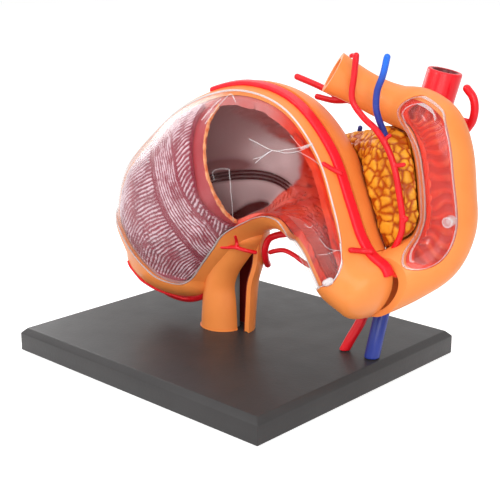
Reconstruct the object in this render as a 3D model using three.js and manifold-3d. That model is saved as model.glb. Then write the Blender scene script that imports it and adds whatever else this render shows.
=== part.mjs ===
// Stomach anatomy model: a take-apart teaching model that stands on a square base, with clear windows.
// Millimetres, +Z up. The origin is the middle of the base's underside. The seam between the front and back
// halves of the stomach is the plane y = 0, and the front half, with its clear window, faces -Y.
import * as THREE from 'three';
import { mergeVertices } from 'three/addons/utils/BufferGeometryUtils.js';
import Module from 'manifold-3d';

const wasm = await Module();
wasm.setup();

// Base plate and the flat stand post that the oesophagus slides down over
const BASE_LENGTH = 130;
const BASE_DEPTH = 116;
const BASE_THICKNESS = 9.4;
const BASE_CHAMFER = 2.1;
const POST_WIDTH = 9;
const POST_THICKNESS = 3.6;
const POST_HEIGHT = 26;
const POST_X = -6;
const POST_Y = 2.6;
const POST_ROOT = 5;

// Clearances: between neighbouring pieces, either side of a seam, and where the organ stands on the base
const FIT_GAP = 0.3;
const SEAM_GAP = 0.3;
const SEAT_GAP = 0.3;

// Walls of the moulded shells, the layers under the window, and the linings
const SHELL_WALL = 2.2;
const MUSCLE_THICKNESS = 1.8;
const SUBMUCOSA_THICKNESS = 1.4;
const LINING_THICKNESS = 2;
const LINING_REVEAL = 1.2;
const RUGA_HEIGHT = 0.8;
const RUGA_COUNT = 10;
const FOLD_HEIGHT = 0.7;

// Stations along the stomach from the fundus to the pylorus: a point on the greater curvature and the point
// facing it on the lesser curvature, both as [x, z] on the seam, the depth of the front half and of the back
// half, and how far the back half stands out past the front half on the greater curvature.
const STOMACH_STATIONS = [
  { greater: [-57.5, 35.5], lesser: [-8, 28.5], front: 18.5, back: 17, step: 0 },
  { greater: [-62, 50.5], lesser: [-1.5, 36], front: 23, back: 20, step: 0 },
  { greater: [-56.5, 69.3], lesser: [4.5, 42], front: 25, back: 22, step: 0 },
  { greater: [-39.8, 86.3], lesser: [10.5, 48], front: 24.5, back: 23, step: 0 },
  { greater: [-17.3, 101.3], lesser: [17, 53], front: 25.3, back: 23, step: 0.2 },
  { greater: [9.3, 108.5], lesser: [23, 55.3], front: 25, back: 23, step: 1.2 },
  { greater: [32, 104], lesser: [29.5, 56], front: 24, back: 22, step: 1.8 },
  { greater: [49, 88.5], lesser: [35.5, 54.5], front: 21.5, back: 20, step: 1.8 },
  { greater: [58, 70.3], lesser: [41, 50], front: 19.5, back: 18, step: 1.5 },
  { greater: [63, 59.5], lesser: [46, 42.5], front: 18.5, back: 16, step: 1.2 },
  { greater: [67.5, 54], lesser: [51.5, 35], front: 17.5, back: 14.5, step: 0.8 },
  { greater: [73, 51], lesser: [59.5, 30], front: 15.5, back: 13.5, step: 0.5 },
];
const FUNDUS_DOME = 13;
const PYLORUS_DOME = 7.5;
const RING_SIDES = 20;
const RINGS_PER_SPAN = 2;
const DOME_ANGLES = [25, 50, 72];

// Clear window of the front half: its outline on the seam as [x, z], which runs outside the organ where the
// window reaches the side of the organ, and the depth of its rim as [x, y].
const WINDOW_WALL = 1.6;
const WINDOW_OUTLINE = [
  [-80, 34], [-38.8, 32.3], [-30.4, 32.9], [-26.6, 30], [-21.7, 27.5], [-16.7, 27.5], [-12.8, 30], [-6, 37.5],
  [0.9, 45.2], [6.1, 51.3], [12.3, 55.6], [26.9, 62.7], [33.9, 64.3], [38.5, 63.5], [40.3, 60], [37, 54.5],
  [32, 50], [38, 40], [48, 33], [52, 38.5], [56, 42.4], [58.4, 43.6], [61.6, 44.9], [63.5, 48.2], [63.6, 52.6],
  [61.3, 58.5], [72, 76], [60, 120], [-80, 120],
];
const WINDOW_RIM = [[-90, -9], [30, -8], [50, -8.6], [60, -10], [64, -13], [90, -13]];

// Right-hand edges of the muscle layer and of the layer below it, and the far side of both, as [x, z]
const MUSCLE_EDGE = [
  [-10, 112], [-3.9, 95.5], [0.6, 87], [3.1, 76], [3.6, 66], [7.3, 59], [9.7, 55.6], [16, 46],
];
const SUBMUCOSA_EDGE = [[2, 112], [5, 96.5], [9.1, 86.5], [10.4, 77.6], [11.4, 68], [12, 58.6], [18, 46]];
const LAYER_FAR_SIDE = [[0, -20], [-90, -20], [-90, 112]];

// Lower end of the oesophagus, which stands on the base: sections of its front half and of its wider back half,
// with `at` as [x, z], half the width and the depth
const FRONT_NECK = [
  { at: [-6.7, 0], half: 10.3, depth: 8.3 },
  { at: [-6.4, 20], half: 9, depth: 8 },
  { at: [-6, 28], half: 7.8, depth: 8 },
  { at: [-5, 34], half: 8.6, depth: 8.2 },
  { at: [-2.8, 40], half: 9.8, depth: 8.8 },
  { at: [1.5, 46], half: 10.3, depth: 9.2 },
  { at: [5.5, 50], half: 9, depth: 8 },
  { at: [8, 53], half: 6, depth: 5 },
];
const BACK_NECK = [
  { at: [-5.2, 0], half: 11.7, depth: 10.5 },
  { at: [-4.8, 22], half: 12.6, depth: 12 },
  { at: [-4, 30], half: 12.6, depth: 12.5 },
  { at: [-1.6, 38], half: 12.8, depth: 13 },
  { at: [2, 46], half: 10.4, depth: 13 },
  { at: [6, 51], half: 8.5, depth: 10 },
  { at: [8.5, 54], half: 6, depth: 6 },
];

// Duodenum, from the pylorus to its open end
const DUODENUM_STATIONS = [
  { at: [65, -6, 40.5], radius: 10.6 },
  { at: [67, 1, 41.4], radius: 10.6 },
  { at: [75, 9, 46.8], radius: 10.5 },
  { at: [81.2, 16, 53], radius: 10.3 },
  { at: [83.6, 20, 63], radius: 10.2 },
  { at: [82.9, 20, 74], radius: 10.2 },
  { at: [80.6, 20, 88.5], radius: 10.2 },
  { at: [76.8, 20, 96.8], radius: 9.9 },
  { at: [70.5, 20, 101.4], radius: 8.6 },
  { at: [61.5, 20, 102.9], radius: 7.3 },
  { at: [54.2, 18.8, 105], radius: 6.8 },
  { at: [48, 14, 109], radius: 6.7 },
  { at: [41, 7.8, 114.2], radius: 7.7 },
];
const DUODENUM_OPEN_END = { at: [39.7, 6.7, 115.2], radius: 7.7 };

// Joint between the back half and the duodenum: across the stomach here, as [x, z], through the centre and out
// past both curvatures
const PYLORUS_CENTRE = [59.5, 44.5];
const PYLORUS_ACROSS = [0.645, 0.766];
const PYLORUS_REACH = [16, -30];
const PYLORUS_DEPTH = 50;

// Clear window of the duodenum as [x, z], and how far back from the front its rim lies
const DUODENUM_WINDOW_OUTLINE = [
  [65.8, 101.9], [67.3, 104.8], [71.3, 107.5], [76.9, 108.2], [80.2, 107], [83.5, 103.6], [87, 96.5],
  [89.4, 90.1], [91, 82.1], [92.6, 71.4], [92.9, 64.5], [91.6, 57.2], [88.8, 52.4], [84.1, 50.2], [79.2, 51],
  [77, 55], [76.9, 62], [77.6, 72], [75.8, 82.8], [73.8, 89.5], [68.8, 95.2], [66.5, 99.1],
];
const DUODENUM_RIM_Y = 16;
const LINING_LEFT_X = 62;
const LINING_BOTTOM_Z = 47;
const LUG_RADIUS = 1.9;
const LUG_FOOT = [89.3, 13.2, 67];
const LUG_TIP = [90, 9.6, 67];
const LUG_SIDES = 10;

// Pancreas, from its head in the bend of the duodenum to its tail behind the stomach, with a flat front
const PANCREAS_STATIONS = [
  { at: [70, 18, 58], radius: 8 },
  { at: [66.5, 18, 65], radius: 12.5 },
  { at: [64, 18, 74], radius: 13.8 },
  { at: [61, 19, 83.5], radius: 12.5 },
  { at: [50, 23.5, 84.5], radius: 9 },
  { at: [32, 27.8, 82], radius: 7 },
  { at: [10, 28.2, 80], radius: 6 },
  { at: [-15, 26.8, 73], radius: 4.5 },
];
const PANCREAS_FRONT_Y = 7.6;
const LOBE_COUNT = 7;
const LOBE_HEIGHT = 0.07;
const PANCREAS_SIDES = 21;
const PANCREAS_DOMES = [4, 3];

// Great vessels: the open aorta behind the pancreas
const AORTA_FOOT = [59.5, 28.5, 66];
const AORTA_TOP = [65.5, 42.5, 114];
const AORTA_RADIUS = 6.5;
const AORTA_WALL = 1.8;

// Red band that follows the greater curvature, beside the seam
const BAND_THICKNESS = 1.6;
const BAND_FRONT_Y = -4.7;
const BAND_BACK_Y = -0.45;
const BAND_START_X = -9;
const BAND_INNER_SIDE = [
  [-60, -20], [-60, 70], [10, 80], [30, 75], [50, 52], [63, 44], [90, 52], [90, -20],
];

// Vessels as paths of their centre lines
const VESSELS = {
  epiploic_branch_upper: { radius: 0.9, path: [[54.6, -4, 81.2], [52.1, -6.2, 82.9], [50.3, -8.2, 84.5]] },
  epiploic_branch_lower: {
    radius: 1,
    path: [[68.6, -4, 55.6], [66.1, -5.5, 55.6], [65.1, -7, 55.9], [63.9, -9.2, 56.3]],
  },
  fundus_artery: {
    radius: 2.2,
    path: [
      [-41, -3, 20.5], [-36.5, -3, 18.6], [-31, -3, 17.9], [-23, -3, 18.6], [-15.5, -3, 21.6], [-12, -2.8, 24],
    ],
  },
  anterior_gastric_artery: {
    radius: 0.8,
    path: [[3.6, -11.3, 46.6], [5.5, -9.5, 46.5], [8.8, -9, 46.9], [12.9, -7.8, 46.3], [15.2, -4.8, 45.3]],
  },
  anterior_gastric_twig: { radius: 0.7, path: [[10.3, -10.7, 52.2], [8.9, -8.5, 49], [9.6, -8.9, 46.7]] },
  left_gastric_artery: {
    radius: 1.35,
    path: [
      [10.5, 7.5, 37], [13, 3.4, 41], [14.2, 1.9, 45.4], [16, 1.9, 49.3], [20, 1.9, 51.6], [27, 2.4, 53.6],
    ],
  },
  right_gastric_artery: {
    radius: 0.95,
    path: [
      [16.8, 2, 44.3], [19.5, 1.6, 45.4], [24, 1.6, 46.5], [29, 1.6, 45.6], [34.2, 1.6, 43.6],
      [41, 1.8, 42.4], [47, 3, 42.6],
    ],
  },
  superior_mesenteric_artery: {
    radius: 1.15,
    path: [
      [56.5, 4.5, 121], [54, 4, 118], [53.6, 4, 114.3], [52.4, 4.5, 105.6], [56.5, 5.5, 100],
      [61.8, 6.1, 96], [67.2, 6.1, 89.6], [70.3, 6.1, 83], [72.5, 6.1, 74.5], [74.2, 6.1, 66.6],
      [74, 6.1, 61.6], [71.8, 5.5, 55.6], [70, 4.5, 52],
    ],
  },
  pancreatic_branch_upper: { radius: 0.75, path: [[65, 6.2, 91.6], [66.2, 6.2, 93.4], [67.6, 6.2, 94.6]] },
  pancreatic_branch_middle: { radius: 0.8, path: [[70.6, 6.2, 84.6], [72.3, 6.2, 84.9], [73.8, 6.2, 85.3]] },
  pancreatic_branch_lower: { radius: 1, path: [[74.2, 6.1, 65], [75, 6, 65.8], [75.7, 6, 66.7]] },
  superior_mesenteric_vein: {
    radius: 1.2,
    path: [
      [66.9, 4, 121.3], [65.2, 4.3, 115.1], [62.7, 4.8, 109.5], [62, 5.5, 103.6], [61.7, 8, 99], [62, 11, 94],
    ],
  },
  portal_vein: {
    radius: 2.9,
    path: [[59, 10.5, 5], [59.3, 13, 14.5], [59, 17, 24.5], [58, 22.3, 36], [58.5, 25, 48], [61, 24, 62]],
  },
  hepatic_artery: {
    radius: 2,
    path: [
      [45.2, 9.5, 5], [48.4, 12.5, 14], [51, 16, 22], [51.8, 20, 33], [52.6, 23, 46], [55.5, 22.5, 60],
    ],
  },
  colic_artery: {
    radius: 1.3,
    path: [
      [5.5, 30, 108.3], [16.7, 30, 105.5], [29, 31, 101.5], [42, 32.5, 98.6], [52, 34, 97.5], [62, 38, 98.5],
    ],
  },
  colic_branch: { radius: 1.2, path: [[15.5, 30.5, 101.3], [24, 30.5, 100.5], [31, 31, 101.2]] },
  inferior_mesenteric_vein: { radius: 0.95, path: [[37.8, 29, 91.6], [37.2, 29, 88], [36.4, 29, 83]] },
  side_artery: {
    radius: 1.5,
    path: [
      [77.9, 37.5, 108.8], [80.6, 37.5, 105.8], [81.5, 37.5, 102], [80.8, 37.5, 97.5], [78.9, 37.7, 94.7],
    ],
  },
  side_artery_root: { radius: 1.1, path: [[80, 37.6, 97], [74.5, 38, 97.6], [64, 38, 99]] },
};

const v3 = (x, y, z) => new THREE.Vector3(x, y, z);
const FAR = 200;
const MERGE_DISTANCE = 1e-4;
const STEEP_SHARE = 0.8;
const TUBE_SIDES = 8;
const TUBE_STEPS = 3;

// Geometry from points and triangles.
function closedGeometry(points, faces) {
  const geometry = new THREE.BufferGeometry();
  geometry.setAttribute('position', new THREE.Float32BufferAttribute(points.flatMap((p) => p.toArray()), 3));
  geometry.setIndex(faces);
  return geometry;
}

// Skin over rings of the same number of points, closed at both ends on the middle of the end ring.
function loft(rings) {
  const sides = rings[0].length;
  const points = rings.flat();
  const faces = [];
  for (let i = 0; i + 1 < rings.length; i += 1) {
    for (let j = 0; j < sides; j += 1) {
      const k = (j + 1) % sides;
      const [a, b, c, d] = [i * sides + j, i * sides + k, (i + 1) * sides + k, (i + 1) * sides + j];
      faces.push(a, c, b, a, d, c);
    }
  }
  const middle = (ring) => ring.reduce((sum, p) => sum.add(p), v3(0, 0, 0)).divideScalar(sides);
  const last = (rings.length - 1) * sides;
  points.push(middle(rings[0]), middle(rings.at(-1)));
  for (let j = 0; j < sides; j += 1) {
    const k = (j + 1) % sides;
    faces.push(j, k, points.length - 2, last + k, last + j, points.length - 1);
  }
  return closedGeometry(points, faces);
}

// Solid for joins and cuts, from a closed geometry.
function solid(geometry) {
  const plain = geometry.clone();
  const extras = Object.keys(plain.attributes).filter((name) => name !== 'position');
  extras.forEach((name) => plain.deleteAttribute(name));
  const merged = mergeVertices(plain, MERGE_DISTANCE);
  return new wasm.Manifold(new wasm.Mesh({
    numProp: 3,
    vertProperties: new Float32Array(merged.attributes.position.array),
    triVerts: new Uint32Array(merged.index.array),
  }));
}

// Geometry of a solid after its joins and cuts.
function geometryOf(body) {
  const mesh = body.getMesh();
  const geometry = new THREE.BufferGeometry();
  geometry.setAttribute('position', new THREE.BufferAttribute(mesh.vertProperties, 3));
  geometry.setIndex(new THREE.BufferAttribute(mesh.triVerts, 1));
  geometry.computeVertexNormals();
  return geometry;
}

const box = (x0, x1, y0, y1, z0, z1) => solid(new THREE.BoxGeometry(x1 - x0, y1 - y0, z1 - z0)
  .translate((x0 + x1) / 2, (y0 + y1) / 2, (z0 + z1) / 2));
const inFrontOf = (y) => box(-FAR, FAR, -FAR, y, -FAR, FAR);
const behind = (y) => box(-FAR, FAR, y, FAR, -FAR, FAR);

// Rings of the stomach's skin, drawn in by `inset` from the outer face. `stepped` takes the back half's larger
// outline, and `ripple` gives the folds of the lining their height.
function stomachRings(inset, { stepped = false, sides = RING_SIDES, ripple = 0 } = {}) {
  const rail = (key) => new THREE.CatmullRomCurve3(STOMACH_STATIONS.map((s) => v3(s[key][0], 0, s[key][1])));
  const values = (key) => new THREE.CatmullRomCurve3(STOMACH_STATIONS.map((s, i) => v3(i, s[key], 0)));
  const [greater, lesser] = [rail('greater'), rail('lesser')];
  const [front, back, steps] = [values('front'), values('back'), values('step')];
  const section = (t) => {
    const [g, l] = [greater.getPoint(t), lesser.getPoint(t)];
    const across = g.clone().sub(l).normalize();
    const step = stepped ? steps.getPoint(t).y : 0;
    return {
      across,
      step,
      centre: g.clone().add(l).multiplyScalar(0.5).addScaledVector(across, step / 2),
      half: g.distanceTo(l) / 2 + step / 2 - inset,
      front: front.getPoint(t).y - inset,
      back: back.getPoint(t).y - inset,
    };
  };
  const ring = (s, shrink, shift) => Array.from({ length: sides }, (_, j) => {
    const angle = (2 * Math.PI * j) / sides;
    const fold = shrink - (ripple * shrink * (1 + Math.cos(RUGA_COUNT * angle))) / 2 / s.half;
    const depth = Math.sin(angle) < 0 ? s.front : s.back;
    return s.centre.clone().add(shift)
      .addScaledVector(s.across, s.half * fold * Math.cos(angle))
      .add(v3(0, depth * fold * Math.sin(angle), 0));
  });
  const dome = (s, height, sign) => DOME_ANGLES.map((degrees) => {
    const angle = THREE.MathUtils.degToRad(degrees);
    const rise = sign * (height + s.step - inset) * Math.sin(angle);
    return ring(s, Math.cos(angle), v3(s.across.z, 0, -s.across.x).multiplyScalar(rise));
  });
  const spans = (STOMACH_STATIONS.length - 1) * RINGS_PER_SPAN;
  const body = Array.from({ length: spans + 1 }, (_, i) => ring(section(i / spans), 1, v3(0, 0, 0)));
  return [...dome(section(0), FUNDUS_DOME, -1).reverse(), ...body, ...dome(section(1), PYLORUS_DOME, 1)];
}

const stomach = (inset, options) => solid(loft(stomachRings(inset, options)));

// Tapering round pipe through stations of a centre point and a radius, with a dome of the given height on
// either end, drawn in by `inset` from the outer face.
function pipe(stations, { inset = 0, sides = 16, perSpan = 2, domes = [0, 0], lobes = 0, folds = 0 } = {}) {
  const path = new THREE.CatmullRomCurve3(stations.map((s) => v3(...s.at)), false, 'centripetal');
  const radii = new THREE.CatmullRomCurve3(stations.map((s, i) => v3(i, s.radius, 0)));
  const count = (stations.length - 1) * perSpan;
  const ring = (centre, radius, along, side) => {
    const other = side.clone().cross(along).normalize();
    return Array.from({ length: sides }, (_, j) => {
      const angle = (2 * Math.PI * j) / sides;
      const reach = radius * (1 + lobes * Math.cos(LOBE_COUNT * angle) * Math.cos(centre.z + centre.x));
      return centre.clone()
        .addScaledVector(other, -reach * Math.cos(angle))
        .addScaledVector(side, reach * Math.sin(angle));
    });
  };
  const rings = [];
  let side = null;
  for (let i = 0; i <= count; i += 1) {
    const along = path.getTangent(i / count);
    const start = side ?? (Math.abs(along.y) > STEEP_SHARE ? v3(1, 0, 0) : v3(0, 1, 0));
    side = start.clone().addScaledVector(along, -start.dot(along)).normalize();
    const [centre, radius] = [path.getPoint(i / count), radii.getPoint(i / count).y - inset - folds * (i % 2)];
    const dome = (height, sign) => DOME_ANGLES.map((degrees) => {
      const angle = THREE.MathUtils.degToRad(degrees);
      const top = centre.clone().addScaledVector(along, sign * (height - inset) * Math.sin(angle));
      return ring(top, radius * Math.cos(angle), along, side);
    });
    if (i === 0 && domes[0]) rings.push(...dome(domes[0], -1).reverse());
    rings.push(ring(centre, radius, along, side));
    if (i === count && domes[1]) rings.push(...dome(domes[1], 1));
  }
  return solid(loft(rings));
}

// Tube of one radius along a smooth path.
function tube({ path, radius }, grow = 0) {
  const curve = new THREE.CatmullRomCurve3(path.map((p) => v3(...p)), false, 'centripetal');
  const circle = new THREE.Shape(Array.from({ length: TUBE_SIDES }, (_, j) => {
    const angle = (2 * Math.PI * j) / TUBE_SIDES;
    return new THREE.Vector2((radius + grow) * Math.cos(angle), (radius + grow) * Math.sin(angle));
  }));
  const steps = TUBE_STEPS * (path.length - 1);
  return solid(new THREE.ExtrudeGeometry(circle, { extrudePath: curve, steps, bevelEnabled: false }));
}

// Closed outline drawn in by `inset`, each corner along the middle of its two edges.
function drawnIn(outline, inset) {
  const points = outline.map((p) => new THREE.Vector2(...p));
  const turn = THREE.ShapeUtils.isClockWise(points) ? -1 : 1;
  return points.map((p, i) => {
    const before = p.clone().sub(points.at(i - 1)).normalize();
    const after = points[(i + 1) % points.length].clone().sub(p).normalize();
    const normal = new THREE.Vector2(-before.y - after.y, before.x + after.x).normalize();
    const reach = inset / Math.max(0.5, normal.dot(new THREE.Vector2(-before.y, before.x)));
    return p.clone().addScaledVector(normal, turn * reach);
  });
}

// Prism along Y over an outline of [x, z] points, from `y0` to `y1`.
function prism(outline, y0, y1, inset = 0) {
  const shape = new THREE.Shape(drawnIn(outline, inset));
  return solid(new THREE.ExtrudeGeometry(shape, { depth: y1 - y0, bevelEnabled: false })
    .rotateX(Math.PI / 2).translate(0, y1, 0));
}

// Space in front of a rim given as [x, y] points, for the full height.
function beforeRim(rim, inset) {
  const line = rim.map(([x, y]) => new THREE.Vector2(x, y - inset));
  const far = [rim.at(-1), rim[0]].map(([x]) => new THREE.Vector2(x, -FAR));
  const shape = new THREE.Shape([...line, ...far]);
  return solid(new THREE.ExtrudeGeometry(shape, { depth: FAR, bevelEnabled: false }));
}

// Lower end of the oesophagus as a solid, from `bottom` up into the stomach.
function neck(stations, inset, bottom) {
  const rings = stations.map((s, i) => Array.from({ length: RING_SIDES }, (_, j) => {
    const angle = (-2 * Math.PI * j) / RING_SIDES;
    const x = s.at[0] + (s.half - inset) * Math.cos(angle);
    return v3(x, (s.depth - inset) * Math.sin(angle), i ? s.at[1] : bottom);
  }));
  return solid(loft(rings));
}

const seatHeight = BASE_THICKNESS + SEAT_GAP;
const windowSpace = (inset) => prism(WINDOW_OUTLINE, -FAR, 0, inset).intersect(beforeRim(WINDOW_RIM, inset));
const duodenumWindowSpace = (inset) => prism(DUODENUM_WINDOW_OUTLINE, -FAR, DUODENUM_RIM_Y - inset, inset);
const openDuodenum = [...DUODENUM_STATIONS, DUODENUM_OPEN_END];
const duodenumBody = (inset) => pipe(inset > 0 ? openDuodenum : DUODENUM_STATIONS, { inset });
const layer = (outer, inner) => stomach(outer).subtract(stomach(inner));

// Space on the duodenum's side (1) or the stomach's side (-1) of the joint at the pylorus.
function besidePylorus(side, grow) {
  const [centre, across] = [new THREE.Vector2(...PYLORUS_CENTRE), new THREE.Vector2(...PYLORUS_ACROSS)];
  const away = new THREE.Vector2(across.y, -across.x).multiplyScalar(side);
  const near = PYLORUS_REACH
    .map((reach) => centre.clone().addScaledVector(across, reach).addScaledVector(away, -grow));
  const far = near.map((p) => p.clone().addScaledVector(away, PYLORUS_DEPTH)).reverse();
  return prism([...near, ...far].map((p) => p.toArray()), 0, FAR);
}

// Parts of the stomach
function frontShell() {
  return stomach(0).add(neck(FRONT_NECK, 0, seatHeight))
    .subtract(stomach(SHELL_WALL))
    .subtract(neck(FRONT_NECK, SHELL_WALL, 0))
    .intersect(inFrontOf(-SEAM_GAP / 2))
    .subtract(windowSpace(0));
}

function backShell() {
  return stomach(0, { stepped: true }).add(neck(BACK_NECK, 0, seatHeight))
    .subtract(stomach(SHELL_WALL, { stepped: true }))
    .subtract(neck(BACK_NECK, SHELL_WALL, 0))
    .subtract(duodenumBody(SHELL_WALL))
    .intersect(behind(SEAM_GAP / 2))
    .subtract(besidePylorus(1, SEAM_GAP / 2));
}

const liningInset = SHELL_WALL + FIT_GAP;

function mucosa(options) {
  return stomach(liningInset, options)
    .subtract(stomach(liningInset + LINING_THICKNESS, {
      ...options, sides: 3 * RUGA_COUNT, ripple: RUGA_HEIGHT,
    }));
}

function frontMucosa() {
  return mucosa({}).intersect(inFrontOf(-SEAM_GAP / 2))
    .subtract(neck(FRONT_NECK, liningInset, 0))
    .subtract(windowSpace(LINING_REVEAL));
}

function backMucosa() {
  return mucosa({ stepped: true })
    .subtract(neck(BACK_NECK, liningInset, 0))
    .intersect(behind(SEAM_GAP / 2))
    .subtract(duodenumBody(liningInset))
    .subtract(besidePylorus(1, SEAM_GAP / 2));
}

const stomachWindow = () => layer(0, WINDOW_WALL).intersect(windowSpace(FIT_GAP));

// Layer under the window, to the left of its edge line.
function wallLayer(outer, thickness, edge) {
  return layer(outer, outer + thickness)
    .intersect(windowSpace(LINING_REVEAL + FIT_GAP))
    .intersect(prism([...edge, ...LAYER_FAR_SIDE], -FAR, 0));
}
const muscleOuter = WINDOW_WALL + FIT_GAP;
const submucosaOuter = muscleOuter + MUSCLE_THICKNESS + FIT_GAP;

// Parts of the duodenum and the organs behind the stomach
function duodenumShell() {
  return stomach(0, { stepped: true }).intersect(besidePylorus(1, 0))
    .add(pipe(DUODENUM_STATIONS))
    .subtract(stomach(SHELL_WALL, { stepped: true }))
    .subtract(duodenumBody(SHELL_WALL))
    .intersect(behind(SEAM_GAP / 2))
    .subtract(besidePylorus(-1, SEAM_GAP / 2))
    .subtract(duodenumWindowSpace(0));
}

function duodenumLining() {
  return duodenumBody(liningInset)
    .subtract(pipe(openDuodenum, {
      inset: liningInset + LINING_THICKNESS - FOLD_HEIGHT, folds: FOLD_HEIGHT,
    }))
    .intersect(box(LINING_LEFT_X, FAR, 0, FAR, LINING_BOTTOM_Z, FAR))
    .subtract(duodenumWindowSpace(LINING_REVEAL));
}

function duodenumWindow() {
  const lug = pipe([{ at: LUG_FOOT, radius: LUG_RADIUS }, { at: LUG_TIP, radius: LUG_RADIUS }], { sides: LUG_SIDES });
  return pipe(DUODENUM_STATIONS).subtract(pipe(DUODENUM_STATIONS, { inset: WINDOW_WALL }))
    .intersect(duodenumWindowSpace(FIT_GAP))
    .add(lug);
}

const aortaSolid = (radius) => pipe([{ at: AORTA_FOOT, radius }, { at: AORTA_TOP, radius }]);
function aorta() {
  const along = v3(...AORTA_TOP).sub(v3(...AORTA_FOOT)).normalize().multiplyScalar(AORTA_WALL);
  const bore = [v3(...AORTA_FOOT).add(along), v3(...AORTA_TOP).add(along)];
  return aortaSolid(AORTA_RADIUS)
    .subtract(pipe(bore.map((p) => ({ at: p.toArray(), radius: AORTA_RADIUS - AORTA_WALL }))));
}

function pancreas() {
  const pierced = ['portal_vein', 'hepatic_artery', 'superior_mesenteric_vein', 'inferior_mesenteric_vein'];
  const body = pipe(PANCREAS_STATIONS, { sides: PANCREAS_SIDES, domes: PANCREAS_DOMES, lobes: LOBE_HEIGHT })
    .intersect(behind(PANCREAS_FRONT_Y))
    .subtract(duodenumBody(-FIT_GAP))
    .subtract(stomach(-FIT_GAP, { stepped: true }))
    .subtract(prism(DUODENUM_WINDOW_OUTLINE, -FAR, DUODENUM_RIM_Y, -FIT_GAP))
    .subtract(aortaSolid(AORTA_RADIUS + FIT_GAP));
  return pierced.reduce((rest, name) => rest.subtract(tube(VESSELS[name], FIT_GAP)), body);
}

function curvatureBand() {
  return layer(-BAND_THICKNESS, -FIT_GAP)
    .intersect(box(BAND_START_X, FAR, BAND_FRONT_Y, BAND_BACK_Y, -FAR, FAR))
    .subtract(prism(BAND_INNER_SIDE, -FAR, FAR));
}

// Vessel laid on the organ: whatever would sink into a neighbour is cut away, with the fit gap.
const frontNeighbours = () => stomach(-FIT_GAP).add(neck(FRONT_NECK, -FIT_GAP, 0));
const backNeighbours = () => stomach(-FIT_GAP, { stepped: true })
  .add(neck(BACK_NECK, -FIT_GAP, 0))
  .add(duodenumBody(-FIT_GAP))
  .add(aortaSolid(AORTA_RADIUS + FIT_GAP));

// Base plate with a chamfered top edge and a slot for the post.
function basePlate() {
  const corners = [[1, 1], [1, -1], [-1, -1], [-1, 1]];
  const ring = (z, inset) => corners
    .map(([x, y]) => v3(x * (BASE_LENGTH / 2 - inset), y * (BASE_DEPTH / 2 - inset), z));
  return solid(loft([ring(0, 0), ring(BASE_THICKNESS - BASE_CHAMFER, 0), ring(BASE_THICKNESS, BASE_CHAMFER)]))
    .subtract(standPost(FIT_GAP));
}

function standPost(grow) {
  const [halfWidth, halfThickness] = [POST_WIDTH / 2 + grow, POST_THICKNESS / 2 + grow];
  return box(POST_X - halfWidth, POST_X + halfWidth, POST_Y - halfThickness, POST_Y + halfThickness,
    BASE_THICKNESS - POST_ROOT - grow, BASE_THICKNESS + POST_HEIGHT + grow);
}

const frontSeats = frontNeighbours();
const backSeats = backNeighbours();
const vessel = (name, seats) => tube(VESSELS[name]).subtract(seats);
const bandBranch = (name) => vessel(name, frontSeats).intersect(inFrontOf(BAND_FRONT_Y - FIT_GAP));
const forked = (name, branches, seats) => branches
  .reduce((trunk, branch) => trunk.add(tube(VESSELS[branch])), tube(VESSELS[name]))
  .subtract(seats);
const standing = (name) => vessel(name, backSeats).intersect(box(-FAR, FAR, -FAR, FAR, seatHeight, FAR));

const FINISHES = {
  base: { color: 0x3a3836, roughness: 0.45 },
  post: { color: 0x8c8c8a, roughness: 0.5 },
  orange: { color: 0xf2913f, roughness: 0.4 },
  clear: { color: 0xe9eef2, roughness: 0.08, transparent: true, opacity: 0.35 },
  muscle: { color: 0xc08a94, roughness: 0.45 },
  submucosa: { color: 0xd2504a, roughness: 0.45 },
  mucosa: { color: 0xb5464e, roughness: 0.45 },
  artery: { color: 0xdd2434, roughness: 0.35 },
  vein: { color: 0x27379a, roughness: 0.35 },
  pancreas: { color: 0xdc9a2e, roughness: 0.5 },
};

const group = new THREE.Group();
function addNode(name, finish, body) {
  const material = new THREE.MeshStandardMaterial({ metalness: 0, ...FINISHES[finish] });
  const mesh = new THREE.Mesh(geometryOf(body), material);
  mesh.name = name;
  group.add(mesh);
}

// Stand
addNode('base_plate', 'base', basePlate());
addNode('stand_post', 'post', standPost(0));

// Front half of the stomach
addNode('stomach_front_shell', 'orange', frontShell());
addNode('mucosa_front', 'mucosa', frontMucosa());
addNode('muscle_layer', 'muscle', wallLayer(muscleOuter, MUSCLE_THICKNESS, MUSCLE_EDGE));
addNode('submucosa_layer', 'submucosa', wallLayer(submucosaOuter, SUBMUCOSA_THICKNESS, SUBMUCOSA_EDGE));
addNode('stomach_window', 'clear', stomachWindow());
addNode('gastroepiploic_band', 'artery', curvatureBand());
addNode('epiploic_branch_upper', 'artery', bandBranch('epiploic_branch_upper'));
addNode('epiploic_branch_lower', 'artery', bandBranch('epiploic_branch_lower'));
addNode('anterior_gastric_artery', 'artery', forked('anterior_gastric_artery', [
  'anterior_gastric_twig',
], frontSeats));
addNode('fundus_artery', 'artery', vessel('fundus_artery', frontSeats));

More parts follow.
